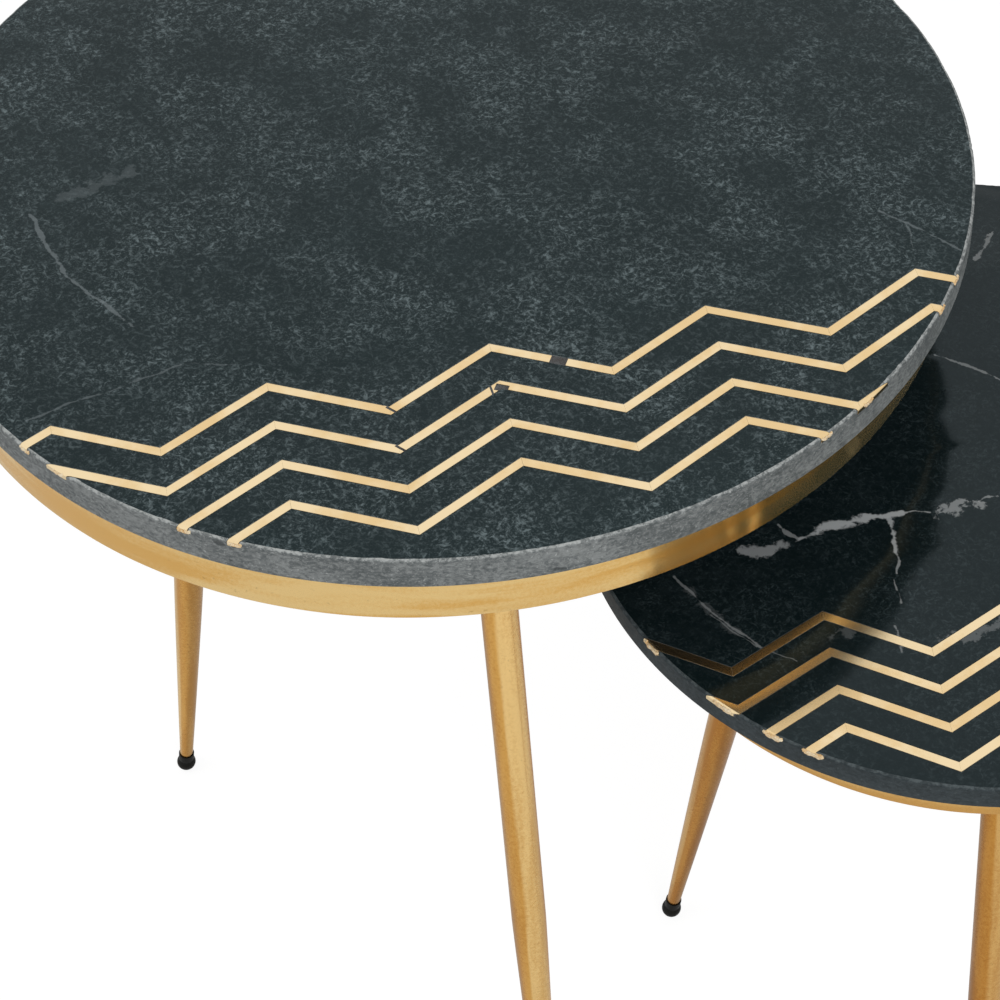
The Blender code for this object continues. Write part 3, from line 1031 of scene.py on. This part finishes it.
    def glue(self, material: bpy.types.Material) -> Piece:
        """Makes the dark adhesive that fills the grooves to just below the strips' face."""
        beds = []
        for line in range(self.zigzag.LINES):
            bed = self.zigzag.bars(line, self.strip_width + 1.6 * GAP, 0.0,
                                   self.top - self.strip_depth - 0.6 * GAP,
                                   self.top + self.strip_depth, material)
            bed = self.welded(bed)
            bed.transform(self.zigzag.frame(self.centre))
            beds.append(combined(bed, self.blank(self.GLUE_DROP), "INTERSECT"))
        return Piece(f"{self.table}_inlay_glue", joined(beds), self.body, "inlay_brass",
                     [material])

    def burrs(self, material: bpy.types.Material) -> Piece:
        """Makes the rough lumps of brass and filler where the strips run out over the rim."""
        lumps = []
        for line in range(self.zigzag.LINES):
            for place in self.zigzag.rim_places(line, self.radius - self.RIM_INSET):
                lumps.extend(self.lumps_at(Vector(self.zigzag.at(line, place)), line))
        mesh = joined(lumps)
        mesh.transform(self.zigzag.frame(self.centre))
        return Piece(f"{self.table}_inlay_burrs", mesh, self.body, "inlay_brass", [material])

    def lumps_at(self, place: Vector, line: int) -> list[bpy.types.Mesh]:
        """Returns a few flattened lumps on the rim near one strip's end."""
        outward = place.normalized()
        around = Vector((-outward.y, outward.x))
        lumps = []
        for index, (aside, drop, wide, tall) in enumerate(self.LUMPS):
            build = bmesh.new()
            bmesh.ops.create_icosphere(build, subdivisions=3, radius=1.0)
            seed = Vector((line * 3.7 + place.y * 50.0, index * 5.1, 0.0))
            for vertex in build.verts:
                swell = 1.0 + 0.42 * noise.noise(vertex.co * 1.9 + seed)
                swell += 0.24 * noise.noise(vertex.co * 5.5 + seed)
                spot = vertex.co * swell
                flat = (outward * (self.radius - self.LUMP_BURIED + spot.x * self.LUMP_THICK)
                        + around * (aside + spot.y * wide) * self.burr_size)
                height = self.top - drop + spot.z * tall * self.burr_size
                vertex.co = Vector((flat.x, flat.y, height))
            bmesh.ops.recalc_face_normals(build, faces=build.faces)
            lumps.append(built(build, "lump"))
        return lumps


# ---------------------------------------------------------------- base: ring, legs, fixings

@dataclass
class ApronRing:
    """The brass band under the marble: a rolled flat bar with eased edges."""

    table: str
    wall: float = 0.0025
    easing: float = 0.0005
    ripple: float = 0.00012
    ripple_scale: float = 22.0
    steps: int = 360

    def piece(self, brass: bpy.types.Material) -> Piece:
        """Makes the ring, with the faint ripple that rolling leaves in it."""
        low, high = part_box(f"{self.table}_apron_ring")
        outer = (high.x - low.x) / 2.0
        inner = outer - self.wall
        corners = [(side, level, self.easing) for side, level in (
            (outer, high.z), (outer, low.z), (inner, low.z), (inner, high.z))]
        profile = self.with_waists(rounded(corners, closed=True), outer, inner)
        mesh = turned(profile, self.steps, closed=True)
        for vertex in mesh.vertices:
            reach = hypot(vertex.co.x, vertex.co.y)
            push = self.ripple * (noise.noise(vertex.co * self.ripple_scale) - 0.5)
            vertex.co.x += vertex.co.x / reach * push
            vertex.co.y += vertex.co.y / reach * push
        mesh.transform(Matrix.Translation(plan_middle(low, high).to_3d()))
        return Piece(f"{self.table}_apron_band", mesh, f"{self.table}_table", "ring_brass",
                     [brass], (f"{self.table}_apron_ring",))

    @staticmethod
    def with_waists(profile: list[Point], outer: float, inner: float) -> list[Point]:
        """Returns the profile with extra points down both long sides, for the ripple."""
        result: list[Point] = []
        for index, point in enumerate(profile):
            result.append(point)
            following = profile[(index + 1) % len(profile)]
            flat = abs(point[0] - following[0]) < MERGE and point[0] in (outer, inner)
            if flat or abs(point[1] - following[1]) > 0.01:
                for share in (0.25, 0.5, 0.75):
                    result.append((point[0] + (following[0] - point[0]) * share,
                                   point[1] + (following[1] - point[1]) * share))
        return result


@dataclass
class LegSet:
    """The three legs of one table, with their feet, plates and screws."""

    table: str
    splay: float = radians(9.0)
    legs: int = 3
    plate_radius: float = 0.030
    plate: float = 0.004
    boss_radius: float = 0.0085
    boss: float = 0.0085
    stud_radius: float = 0.004
    stud_in_leg: float = 0.016
    leg_radius: float = 0.009
    toe_radius: float = 0.0039
    taper_height: float = 0.223
    taper_power: float = 1.15
    leg_ease: float = 0.0006
    ball_radius: float = 0.0059
    ball_squash: float = 0.0006
    collar_wall: float = 0.0006
    collar_rise: float = 0.0103
    bore_floor: float = 0.0040
    screws: int = 3
    screw_circle: float = 0.021
    screw_head: float = 0.0040
    screw_head_depth: float = 0.0024
    screw_shank: float = 0.0018
    screw_length: float = 0.0125
    screw_recess: float = 0.0008
    screw_seed: int = 7

    PLAIN_STEPS = 14
    TAPER_STEPS = 26
    BALL_STEPS = 22
    BALL_START = 0.80       # where the collar lets the ball out, as an angle from its pole

    def __post_init__(self) -> None:
        """Takes the place of each leg plate from its CAD node."""
        low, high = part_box(f"{self.table}_apron_ring")
        self.axis = plan_middle(low, high)
        self.plate_spots = []
        for leg in range(self.legs):
            low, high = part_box(f"{self.table}_leg_plate_{leg + 1}")
            self.plate_spots.append(plan_middle(low, high))
            self.plate_bottom = high.z - self.plate

    @property
    def body(self) -> str:
        """Returns the body that the legs ride on."""
        return f"{self.table}_table"

    def plate_place(self, leg: int) -> Matrix:
        """Returns the frame of a plate: middle of its lower face, +X outwards."""
        spot = self.plate_spots[leg]
        outward = spot - self.axis
        turn = Vector((1.0, 0.0)).angle_signed(outward)
        return (Matrix.Translation((spot.x, spot.y, self.plate_bottom))
                @ Matrix.Rotation(-turn, 4, "Z"))

    def leg_place(self, leg: int) -> Matrix:
        """Returns the frame of a leg: its axis meets the floor at the origin, +Z up the leg."""
        down = Matrix.Translation((0.0, 0.0, -self.plate_bottom / cos(self.splay)))
        return self.plate_place(leg) @ self.tilt() @ down

    def tilt(self) -> Matrix:
        """Returns the tilt of a leg towards the table's axis as it rises."""
        return Matrix.Rotation(-self.splay, 4, "Y")

    def ball_centre(self) -> float:
        """Returns the distance along the leg's axis from the floor to the ball's middle."""
        return (self.ball_radius - self.ball_squash) / cos(self.splay)

    def legs_and_feet(self, brass: bpy.types.Material, rubber: bpy.types.Material) -> list[Piece]:
        """Makes every leg and its foot.

        Args:
            brass: Finish of the legs.
            rubber: Finish of the feet.

        Returns:
            The pieces.
        """
        pieces = []
        shaft = self.shaft()
        cup = self.cup()
        for leg in range(self.legs):
            number = leg + 1
            turned_leg = moved(shaft, self.leg_place(leg))
            pieces.append(Piece(f"{self.table}_turned_leg_{number}", turned_leg, self.body,
                                "leg_brass", [brass], (f"{self.table}_leg_{number}",)))
            foot = moved(cup, self.leg_place(leg))
            for vertex in foot.vertices:
                vertex.co.z = max(vertex.co.z, 0.0)
            pieces.append(Piece(f"{self.table}_rubber_cup_{number}", foot, self.body,
                                "black_rubber", [rubber], (f"{self.table}_foot_{number}",)))
        return pieces

    def shaft(self) -> bpy.types.Mesh:
        """Returns a turned leg in its own frame: plain above, easing into a long taper."""
        top = self.plate_bottom / cos(self.splay) - self.boss - GAP
        toe = self.ball_centre() + self.bore_floor + GAP
        hole = self.stud_radius + GAP
        profile = rounded([
            (0.0, top - self.stud_in_leg, 0.0),
            (hole, top - self.stud_in_leg, 0.0),
            (hole, top, 0.0002),
            (self.leg_radius, top, self.leg_ease),
            (self.leg_radius, top - 2.0 * self.leg_ease, 0.0),
        ])
        start = top - 2.0 * self.leg_ease
        for step in range(1, self.PLAIN_STEPS):
            share = step / self.PLAIN_STEPS
            profile.append((self.leg_radius, start + (self.taper_height - start) * share))
        for step in range(self.TAPER_STEPS + 1):
            down = step / self.TAPER_STEPS
            shrink = down ** self.taper_power
            profile.append((self.leg_radius + (self.toe_radius - self.leg_radius) * shrink,
                            self.taper_height + (toe - self.taper_height) * down))
        profile.append((0.0, toe))
        mesh = turned(profile, 64)
        store_grain(mesh)
        return mesh

    def cup(self) -> bpy.types.Mesh:
        """Returns a rubber foot in the leg's frame: an open collar over a ball."""
        middle = self.ball_centre()
        bore = self.toe_radius + GAP
        outer = bore + self.collar_wall
        rim = middle + self.collar_rise
        lip = self.collar_wall * 0.45
        profile = rounded([
            (0.0, middle + self.bore_floor, 0.0),
            (bore, middle + self.bore_floor, 0.0003),
            (bore, rim, lip),
            (outer, rim, lip),
            (outer, middle + self.ball_radius * 0.72, 0.0006),
        ])
        for step in range(self.BALL_STEPS + 1):
            angle = self.BALL_START + (pi - self.BALL_START) * step / self.BALL_STEPS
            profile.append((max(self.ball_radius * sin(angle), 0.0),
                            middle + self.ball_radius * cos(angle)))
        profile[-1] = (0.0, profile[-1][1])
        return turned(profile, 48)

    def plates(self, steel: bpy.types.Material) -> list[Piece]:
        """Makes the round steel plates with their tilted bosses."""
        plate = turned(rounded([
            (0.0, self.plate, 0.0),
            (self.plate_radius, self.plate, 0.0005),
            (self.plate_radius, 0.0, 0.0009),
            (0.0, 0.0, 0.0),
        ]), 96)
        boss = turned(rounded([
            (0.0, self.plate * 0.5, 0.0),
            (self.boss_radius, self.plate * 0.5, 0.0),
            (self.boss_radius, -self.boss, 0.0006),
            (0.0, -self.boss, 0.0),
        ]), 48)
        bore_radius = self.stud_radius + GAP
        bore = turned([(0.0, 2.0 * self.plate), (bore_radius, 2.0 * self.plate),
                       (bore_radius, -2.0 * self.boss), (0.0, -2.0 * self.boss)], 32)
        solid = combined(plate, moved(boss, self.tilt()), "UNION")
        solid = combined(solid, moved(bore, self.tilt()), "DIFFERENCE")
        through = 5.0 * self.plate
        shank, head, depth = self.screw_shank + GAP, self.screw_head + GAP, self.screw_head_depth
        for screw in range(self.screws):
            hole = turned([(0.0, through), (shank, through), (shank, depth), (head, 0.0),
                           (head, -depth), (0.0, -depth)], 32)
            solid = combined(solid, moved(hole, self.screw_place(screw)), "DIFFERENCE")
        pieces = []
        for leg in range(self.legs):
            pieces.append(Piece(f"{self.table}_boss_plate_{leg + 1}",
                                moved(solid, self.plate_place(leg)), self.body, "plate_steel",
                                [steel], (f"{self.table}_leg_plate_{leg + 1}",)))
        return pieces

    def screw_place(self, screw: int) -> Matrix:
        """Returns the frame of a screw on its plate."""
        turn = Matrix.Rotation(pi + screw * 2.0 * pi / self.screws, 4, "Z")
        return turn @ Matrix.Translation((self.screw_circle, 0.0, 0.0))

    def plate_screws(self, steel: bpy.types.Material) -> Piece:
        """Makes every countersunk screw of the table, with a cross recess in each head."""
        spots = []
        names = []
        for leg in range(self.legs):
            for screw in range(self.screws):
                place = self.plate_place(leg) @ self.screw_place(screw)
                spots.append(place.translation)
                names.append(f"{self.table}_plate_screw_{leg + 1}_{screw + 1}")
        carrier = bpy.data.meshes.new("screw_spots")
        carrier.from_pydata([tuple(spot) for spot in spots], [], [])

        recipe = Recipe("plate_screws")
        head_radius = recipe.size("Head Radius", self.screw_head)
        head_depth = recipe.size("Head Depth", self.screw_head_depth)
        shank_radius = recipe.size("Shank Radius", self.screw_shank)
        length = recipe.size("Length", self.screw_length)
        recess = recipe.size("Recess Width", self.screw_recess)
        seed = recipe.size("Seed", self.screw_seed, "Int")
        finish = recipe.size("Finish", steel, "Material")

        head = recipe.node("GeometryNodeMeshCone", {
            "Vertices": 32, "Radius Top": shank_radius, "Radius Bottom": head_radius,
            "Depth": head_depth})
        shank = recipe.node("GeometryNodeMeshCylinder", {
            "Vertices": 24, "Radius": shank_radius, "Depth": length})
        half_length = recipe.math("MULTIPLY", length, 0.5)
        raised = recipe.node("GeometryNodeTransform", {
            "Geometry": shank.outputs["Mesh"],
            "Translation": recipe.join(0.0, 0.0, recipe.math("ADD", half_length, 0.0001))})
        arm = recipe.math("MULTIPLY", head_radius, 1.1)
        cross = [recipe.node("GeometryNodeMeshCube", {"Size": recipe.join(*sides)})
                 for sides in ((recess, arm, head_depth), (arm, recess, head_depth))]
        body = recipe.node("GeometryNodeMeshBoolean", {}, operation="UNION")
        for part in (head, raised):
            recipe.tree.links.new(part.outputs[0], body.inputs["Mesh 2"])
        cut = recipe.node("GeometryNodeMeshBoolean", {"Mesh 1": body.outputs["Mesh"]},
                          operation="DIFFERENCE")
        for part in cross:
            recipe.tree.links.new(part.outputs[0], cut.inputs["Mesh 2"])
        spin = recipe.node("FunctionNodeRandomValue", {
            "Max": (0.0, 0.0, 2.0 * pi), "Seed": seed}, data_type="FLOAT_VECTOR")
        placed = recipe.node("GeometryNodeInstanceOnPoints", {
            "Points": recipe.entry.outputs["Geometry"], "Instance": cut.outputs["Mesh"],
            "Rotation": spin.outputs[0]})
        real = recipe.node("GeometryNodeRealizeInstances", {0: placed.outputs[0]})
        mesh = recipe.made(real.outputs[0], finish, carrier)
        return Piece(f"{self.table}_countersunk_screws", mesh, self.body, "screw_steel",
                     [steel], tuple(names))


# ---------------------------------------------------------------- one table

@dataclass
class Table:
    """One table of the pair, with every piece that is on it."""

    name: str
    top: MarbleTop
    ring: ApronRing
    legs: LegSet
    polished: PolishedStone
    sawn: SawnStone

    def build(self, finishes: dict[str, bpy.types.Material]) -> None:
        """Makes the table's pieces and dresses the CAD nodes that stay.

        Args:
            finishes: Shared materials by plain name.
        """
        polished = self.polished.material()
        sawn = self.sawn.material()
        pieces = [self.top.stone(polished, sawn)]
        for line in range(self.top.zigzag.LINES):
            pieces.append(self.top.strip(line, finishes["inlay"]))
        pieces.append(self.top.glue(finishes["glue"]))
        pieces.append(self.top.burrs(finishes["filler"]))
        pieces.append(self.ring.piece(finishes[f"{self.name} ring"]))
        pieces.extend(self.legs.legs_and_feet(finishes[f"{self.name} leg"], finishes["rubber"]))
        pieces.extend(self.legs.plates(finishes["plate"]))
        pieces.append(self.legs.plate_screws(finishes["screw"]))
        for piece in pieces:
            piece.add()
        self.dress(f"{self.name}_base_board", finishes["board"])
        for leg in range(self.legs.legs):
            self.dress(f"{self.name}_leg_stud_{leg + 1}", finishes["stud"])

    @staticmethod
    def dress(node: str, material: bpy.types.Material) -> None:
        """Gives a CAD node that stays its finish."""
        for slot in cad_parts[node].material_slots:
            slot.material = material
        log.info("%s: dressed", node)


# ---------------------------------------------------------------- studio

@dataclass(frozen=True)
class Lamp:
    """A soft square area lamp aimed at a point."""

    name: str
    place: tuple[float, float, float]
    aim: tuple[float, float, float]
    side: float
    watts: float

    def add(self) -> None:
        """Adds the lamp to the scene."""
        data = bpy.data.lights.new(self.name, "AREA")
        data.shape = "SQUARE"
        data.size = self.side
        data.energy = self.watts
        lamp = bpy.data.objects.new(self.name, data)
        lamp.location = self.place
        direction = Vector(self.aim) - Vector(self.place)
        lamp.rotation_euler = direction.to_track_quat("-Z", "Y").to_euler()
        lamp.visible_glossy = False
        bpy.context.scene.collection.objects.link(lamp)


@dataclass(frozen=True)
class Studio:
    """Floor, light and camera."""

    lamps: tuple[Lamp, ...]
    world_level: float = 0.55
    floor_side: float = 14.0
    floor_white: float = 0.8        # what the floor throws back on the tables
    floor_glow: float = 0.88        # with the paint, what the camera sees of it
    floor_paint: float = 0.20
    floor_mirrored: float = 0.12    # share of that glow in what metal mirrors of the floor
    camera_place: tuple[float, float, float] = (0.3591, -0.8357, 1.4104)
    camera_azimuth: float = radians(22.23)
    camera_dip: float = radians(45.42)
    lens: float = 95.63
    sensor: float = 36.0
    shift: Point = (-0.1899, -0.1372)

    def build(self) -> None:
        """Adds everything round the tables."""
        self.floor()
        self.world()
        for lamp in self.lamps:
            lamp.add()
        self.camera()
        bpy.context.scene.view_settings.view_transform = "Standard"

    def floor(self) -> None:
        """Adds the pale floor, near white to the camera and duller in what metal mirrors."""
        half = self.floor_side / 2.0
        mesh = bpy.data.meshes.new("studio_floor")
        mesh.from_pydata([(-half, -half, 0.0), (half, -half, 0.0), (half, half, 0.0),
                          (-half, half, 0.0)], [], [(0, 1, 2, 3)])
        material = bpy.data.materials.new("studio_floor")
        material.use_nodes = True
        nodes = Nodes(material.node_tree)
        nodes.tree.nodes.clear()
        paint, shown = (nodes.node("ShaderNodeBsdfDiffuse", {"Color": opaque((level,) * 3)})
                        for level in (self.floor_white, self.floor_paint))
        glow = nodes.node("ShaderNodeEmission", {"Strength": self.floor_glow})
        white = nodes.node("ShaderNodeAddShader", {0: shown.outputs[0], 1: glow.outputs[0]})
        rays = nodes.node("ShaderNodeLightPath", {}).outputs
        mirrored = nodes.math("MULTIPLY_ADD", rays["Is Glossy Ray"], self.floor_mirrored,
                              rays["Is Camera Ray"])
        mix = nodes.node("ShaderNodeMixShader", {
            0: mirrored, 1: paint.outputs[0], 2: white.outputs[0]})
        nodes.node("ShaderNodeOutputMaterial", {"Surface": mix.outputs[0]})
        mesh.materials.append(material)
        as_object("studio_floor", mesh)

    @staticmethod
    def seen(nodes: Nodes) -> bpy.types.NodeSocket:
        """Returns 1 for a ray from the camera, a mirror or glass, and 0 for any other."""
        rays = nodes.node("ShaderNodeLightPath", {}).outputs
        total = rays["Is Camera Ray"]
        for name in ("Is Glossy Ray", "Is Transmission Ray"):
            total = nodes.math("MAXIMUM", total, rays[name])
        return total

    def world(self) -> None:
        """Sets an even world, white to the camera and to polished metal."""
        world = bpy.data.worlds.new("studio")
        bpy.context.scene.world = world
        world.use_nodes = True
        nodes = Nodes(world.node_tree)
        level = nodes.node("ShaderNodeMapRange", {
            "Value": self.seen(nodes), "To Min": self.world_level, "To Max": 1.0})
        background = nodes.tree.nodes["Background"].inputs
        nodes.set(background["Color"], (1.0, 1.0, 1.0, 1.0))
        nodes.set(background["Strength"], level.outputs[0])

    def camera(self) -> None:
        """Adds the camera."""
        data = bpy.data.cameras.new("camera")
        data.lens = self.lens
        data.sensor_width = self.sensor
        data.shift_x, data.shift_y = self.shift
        camera = bpy.data.objects.new("camera", data)
        camera.location = self.camera_place
        camera.rotation_euler = (pi / 2.0 - self.camera_dip, 0.0, self.camera_azimuth)
        bpy.context.scene.collection.objects.link(camera)
        bpy.context.scene.camera = camera


# ---------------------------------------------------------------- this pair

LARGE_VEINS = (
    Vein((-0.160, -0.110), -37, 0.095, 0.0009, 0.55, turn=16),      # long one, front left
    Vein((-0.091, -0.222), 50, 0.070, 0.0006, 0.4),
    Vein((-0.046, -0.168), 22, 0.024, 0.0005, 0.3),
    Vein((-0.152, -0.095), 55, 0.035, 0.0045, 0.22),
    Vein((0.203, 0.042), -13, 0.044, 0.0007, 0.5, turn=-5),         # forked one, at the right
    Vein((0.216, 0.039), -58, 0.019, 0.0005, 0.4),
)
SMALL_VEINS = (
    Vein((-0.104, -0.124), -30, 0.060, 0.0006, 0.38, turn=14, ragged=0.9),      # at the front rim
    Vein((-0.094, -0.130), -27, 0.030, 0.0022, 0.10, ragged=1.3),
    Vein((-0.081, -0.139), -20, 0.027, 0.0004, 0.28, turn=8, ragged=0.7),
    Vein((-0.049, -0.147), -10, 0.012, 0.0003, 0.3, ragged=0.6),
    Vein((-0.082, -0.098), 15, 0.019, 0.0033, 0.62, turn=25, ragged=0.8),       # the main streak
    Vein((-0.073, -0.077), -30, 0.014, 0.0010, 0.5, turn=15),
    Vein((-0.061, -0.084), 55, 0.018, 0.0013, 0.8, ragged=0.9),
    Vein((-0.054, -0.073), 45, 0.022, 0.0025, 1.0, turn=-12, ragged=0.7),
    Vein((-0.037, -0.058), 25, 0.018, 0.0015, 1.0, turn=10, ragged=0.6),
    Vein((-0.021, -0.049), 35, 0.012, 0.0005, 0.7, turn=-20, ragged=0.9),
    Vein((-0.006, -0.042), 45, 0.020, 0.0027, 0.62, turn=-5, ragged=1.4),
    Vein((0.008, -0.028), 50, 0.010, 0.0009, 0.6, turn=-20),
    Vein((-0.027, -0.055), -55, 0.020, 0.0013, 0.85, turn=-10, ragged=0.8),     # its branch
    Vein((-0.017, -0.072), -65, 0.013, 0.0006, 0.6, turn=-15, ragged=0.8),
    Vein((-0.013, -0.088), -50, 0.014, 0.0006, 0.5, turn=-15),
    Vein((-0.004, -0.113), -50, 0.017, 0.0011, 0.48, turn=-12),
    Vein((-0.041, 0.054), -5, 0.062, 0.0006, 0.5, turn=-10),                    # further back
    Vein((-0.043, 0.150), -90, 0.024, 0.0014, 0.5),
    Vein((-0.027, -0.129), 35, 0.008, 0.0026, 0.14, ragged=1.3),                # faint clouds
    Vein((0.022, -0.112), 50, 0.025, 0.0034, 0.26, turn=-12, ragged=1.5),
)


def shared_finishes() -> dict[str, bpy.types.Material]:
    """Returns the finishes that both tables share, by plain name."""
    finishes = {
        # inlay paler and rings more orange: partly painted reflection (the strips mirror bright
        # light overhead, the rings the floor), partly the rings' lacquer
        "inlay": Brass("satin_inlay_brass_painted_sheen", (0.88, 0.70, 0.43), (0.80, 0.58, 0.30), 0.19,
                       (1.0, 1.0, 1.0), smudge=30.0, speck_share=0.10, line_depth=0.000002),
        "large ring": Brass("large_ring_brass", (0.91, 0.64, 0.27), (0.81, 0.47, 0.13), 0.21,
                            (30.0, 30.0, 1.0), smudge=75.0, mottled=0.05, brushed_round=True),
        # painted shade: a darker copy of the large table's ring brass, for the shade and dim
        # surroundings under the tops
        "small ring": Brass("small_ring_brass_painted_shade", (0.80, 0.50, 0.17), (0.70, 0.38, 0.10), 0.21,
                            (30.0, 30.0, 1.0), smudge=75.0, mottled=0.05, brushed_round=True),
        "large leg": Brass("large_leg_brass", (0.97, 0.66, 0.27), (0.80, 0.49, 0.17), 0.26,
                           (1.0, 1.0, 30.0), Grain.OWN_AXIS, smudge=70.0, speck_share=0.4,
                           mottled=0.09),
        # painted shade: a darker copy of the large table's leg brass, for the shade and dim
        # surroundings under the tops
        "small leg": Brass("small_leg_brass_painted_shade", (0.78, 0.47, 0.16), (0.64, 0.34, 0.10), 0.26,
                           (1.0, 1.0, 30.0), Grain.OWN_AXIS, smudge=70.0, speck_share=0.4,
                           mottled=0.09),
        "glue": Plain("stone_filled_glue", (0.022, 0.017, 0.014), (0.105, 0.112, 0.118), 0.6, 0.0,
                      1500.0, 0.00004),
        "filler": Plain("pale_filler", (0.66, 0.39, 0.13), (0.88, 0.78, 0.58), 0.5, 0.30,
                        1900.0, 0.00012),
        "rubber": Plain("black_rubber_cup", (0.004, 0.004, 0.003), (0.008, 0.008, 0.006), 0.42,
                        0.0, 1200.0, 0.00002, specular=0.15),
        "board": Plain("black_painted_board", (0.016, 0.016, 0.016), (0.030, 0.029, 0.028),
                       0.65, 0.0, 500.0, 0.00005),
        "plate": Plain("black_plate_steel", (0.06, 0.06, 0.06), (0.11, 0.11, 0.11), 0.45, 0.8,
                       600.0, 0.00002),
        "stud": Plain("zinc_stud_steel", (0.45, 0.46, 0.47), (0.60, 0.60, 0.60), 0.35, 1.0,
                      800.0, 0.00001),
        "screw": Plain("zinc_screw_steel", (0.50, 0.50, 0.49), (0.66, 0.65, 0.62), 0.32, 1.0,
                       900.0, 0.00001),
    }
    return {name: finish.material() for name, finish in finishes.items()}


def large_table() -> Table:
    """Returns the large table."""
    zigzag = Zigzag(half=0.0490, swing=0.0271, spacing=0.0233, reach=0.2273, shift=-0.0039,
                    direction=radians(306.4), early=0.105)
    flaws = (
        Flaw(3, 0.56, (0.0075, 0.0060)),
        Flaw(3, -0.985, (0.0012, 0.0060), turn=radians(12.0)),
        Flaw(2, -0.985, (0.0012, 0.0060), turn=radians(12.0)),
        Flaw(2, -0.09, (0.0010, 0.0060), turn=radians(-25.0)),
        Flaw(2, 0.02, (0.0060, 0.0040), aside=-0.0018),
    )
    top = MarbleTop("large", zigzag, flaws, burr_size=0.65)
    polished = PolishedStone(
        "large_polished_marble", ground=(0.0062, 0.0155, 0.0175), cloud=(0.016, 0.029, 0.032),
        fleck=(0.165, 0.210, 0.220), fleck_share=0.85, vein_colour=(0.17, 0.20, 0.21),
        veins=LARGE_VEINS, centre=(top.centre.x, top.centre.y), roughness=0.34, specular=0.15,
        sheen_tint=(1.0, 1.0, 1.0))
    sawn = SawnStone("large_sawn_marble", (0.085, 0.096, 0.098), (0.235, 0.250, 0.248),
                     (0.44, 0.46, 0.45), (0.045, 0.052, 0.053), top.top)
    return Table("large", top, ApronRing("large"), LegSet("large"), polished, sawn)


def small_table() -> Table:
    """Returns the small table."""
    zigzag = Zigzag(half=0.0445, swing=0.0263, spacing=0.0207, reach=0.1757, shift=0.0,
                    direction=radians(299.3))
    top = MarbleTop("small", zigzag, ())
    polished = PolishedStone(
        "small_polished_marble", ground=(0.0045, 0.0095, 0.0105), cloud=(0.011, 0.018, 0.020),
        fleck=(0.055, 0.075, 0.08), fleck_share=0.6, vein_colour=(0.37, 0.39, 0.395),
        veins=SMALL_VEINS, centre=(top.centre.x, top.centre.y), roughness=0.10, specular=0.25)
    sawn = SawnStone("small_sawn_marble", (0.016, 0.023, 0.026), (0.039, 0.051, 0.056),
                     (0.085, 0.103, 0.108), (0.011, 0.016, 0.018), top.top)
    return Table("small", top, ApronRing("small"), LegSet("small"), polished, sawn)


STUDIO = Studio(lamps=(
    Lamp("key_lamp", (1.7, -1.5, 2.2), (0.0, 0.0, 0.4), 1.8, 34.0),
    Lamp("fill_lamp", (-1.8, -0.9, 2.2), (0.0, 0.0, 0.4), 1.6, 10.0),
))


def main() -> None:
    """Builds the studio and both tables."""
    logging.basicConfig(level=logging.INFO, format="%(name)s %(message)s")
    STUDIO.build()
    finishes = shared_finishes()
    for table in (large_table(), small_table()):
        table.build(finishes)
        log.info("%s table is complete", table.name)


if __name__ == "__main__":
    main()
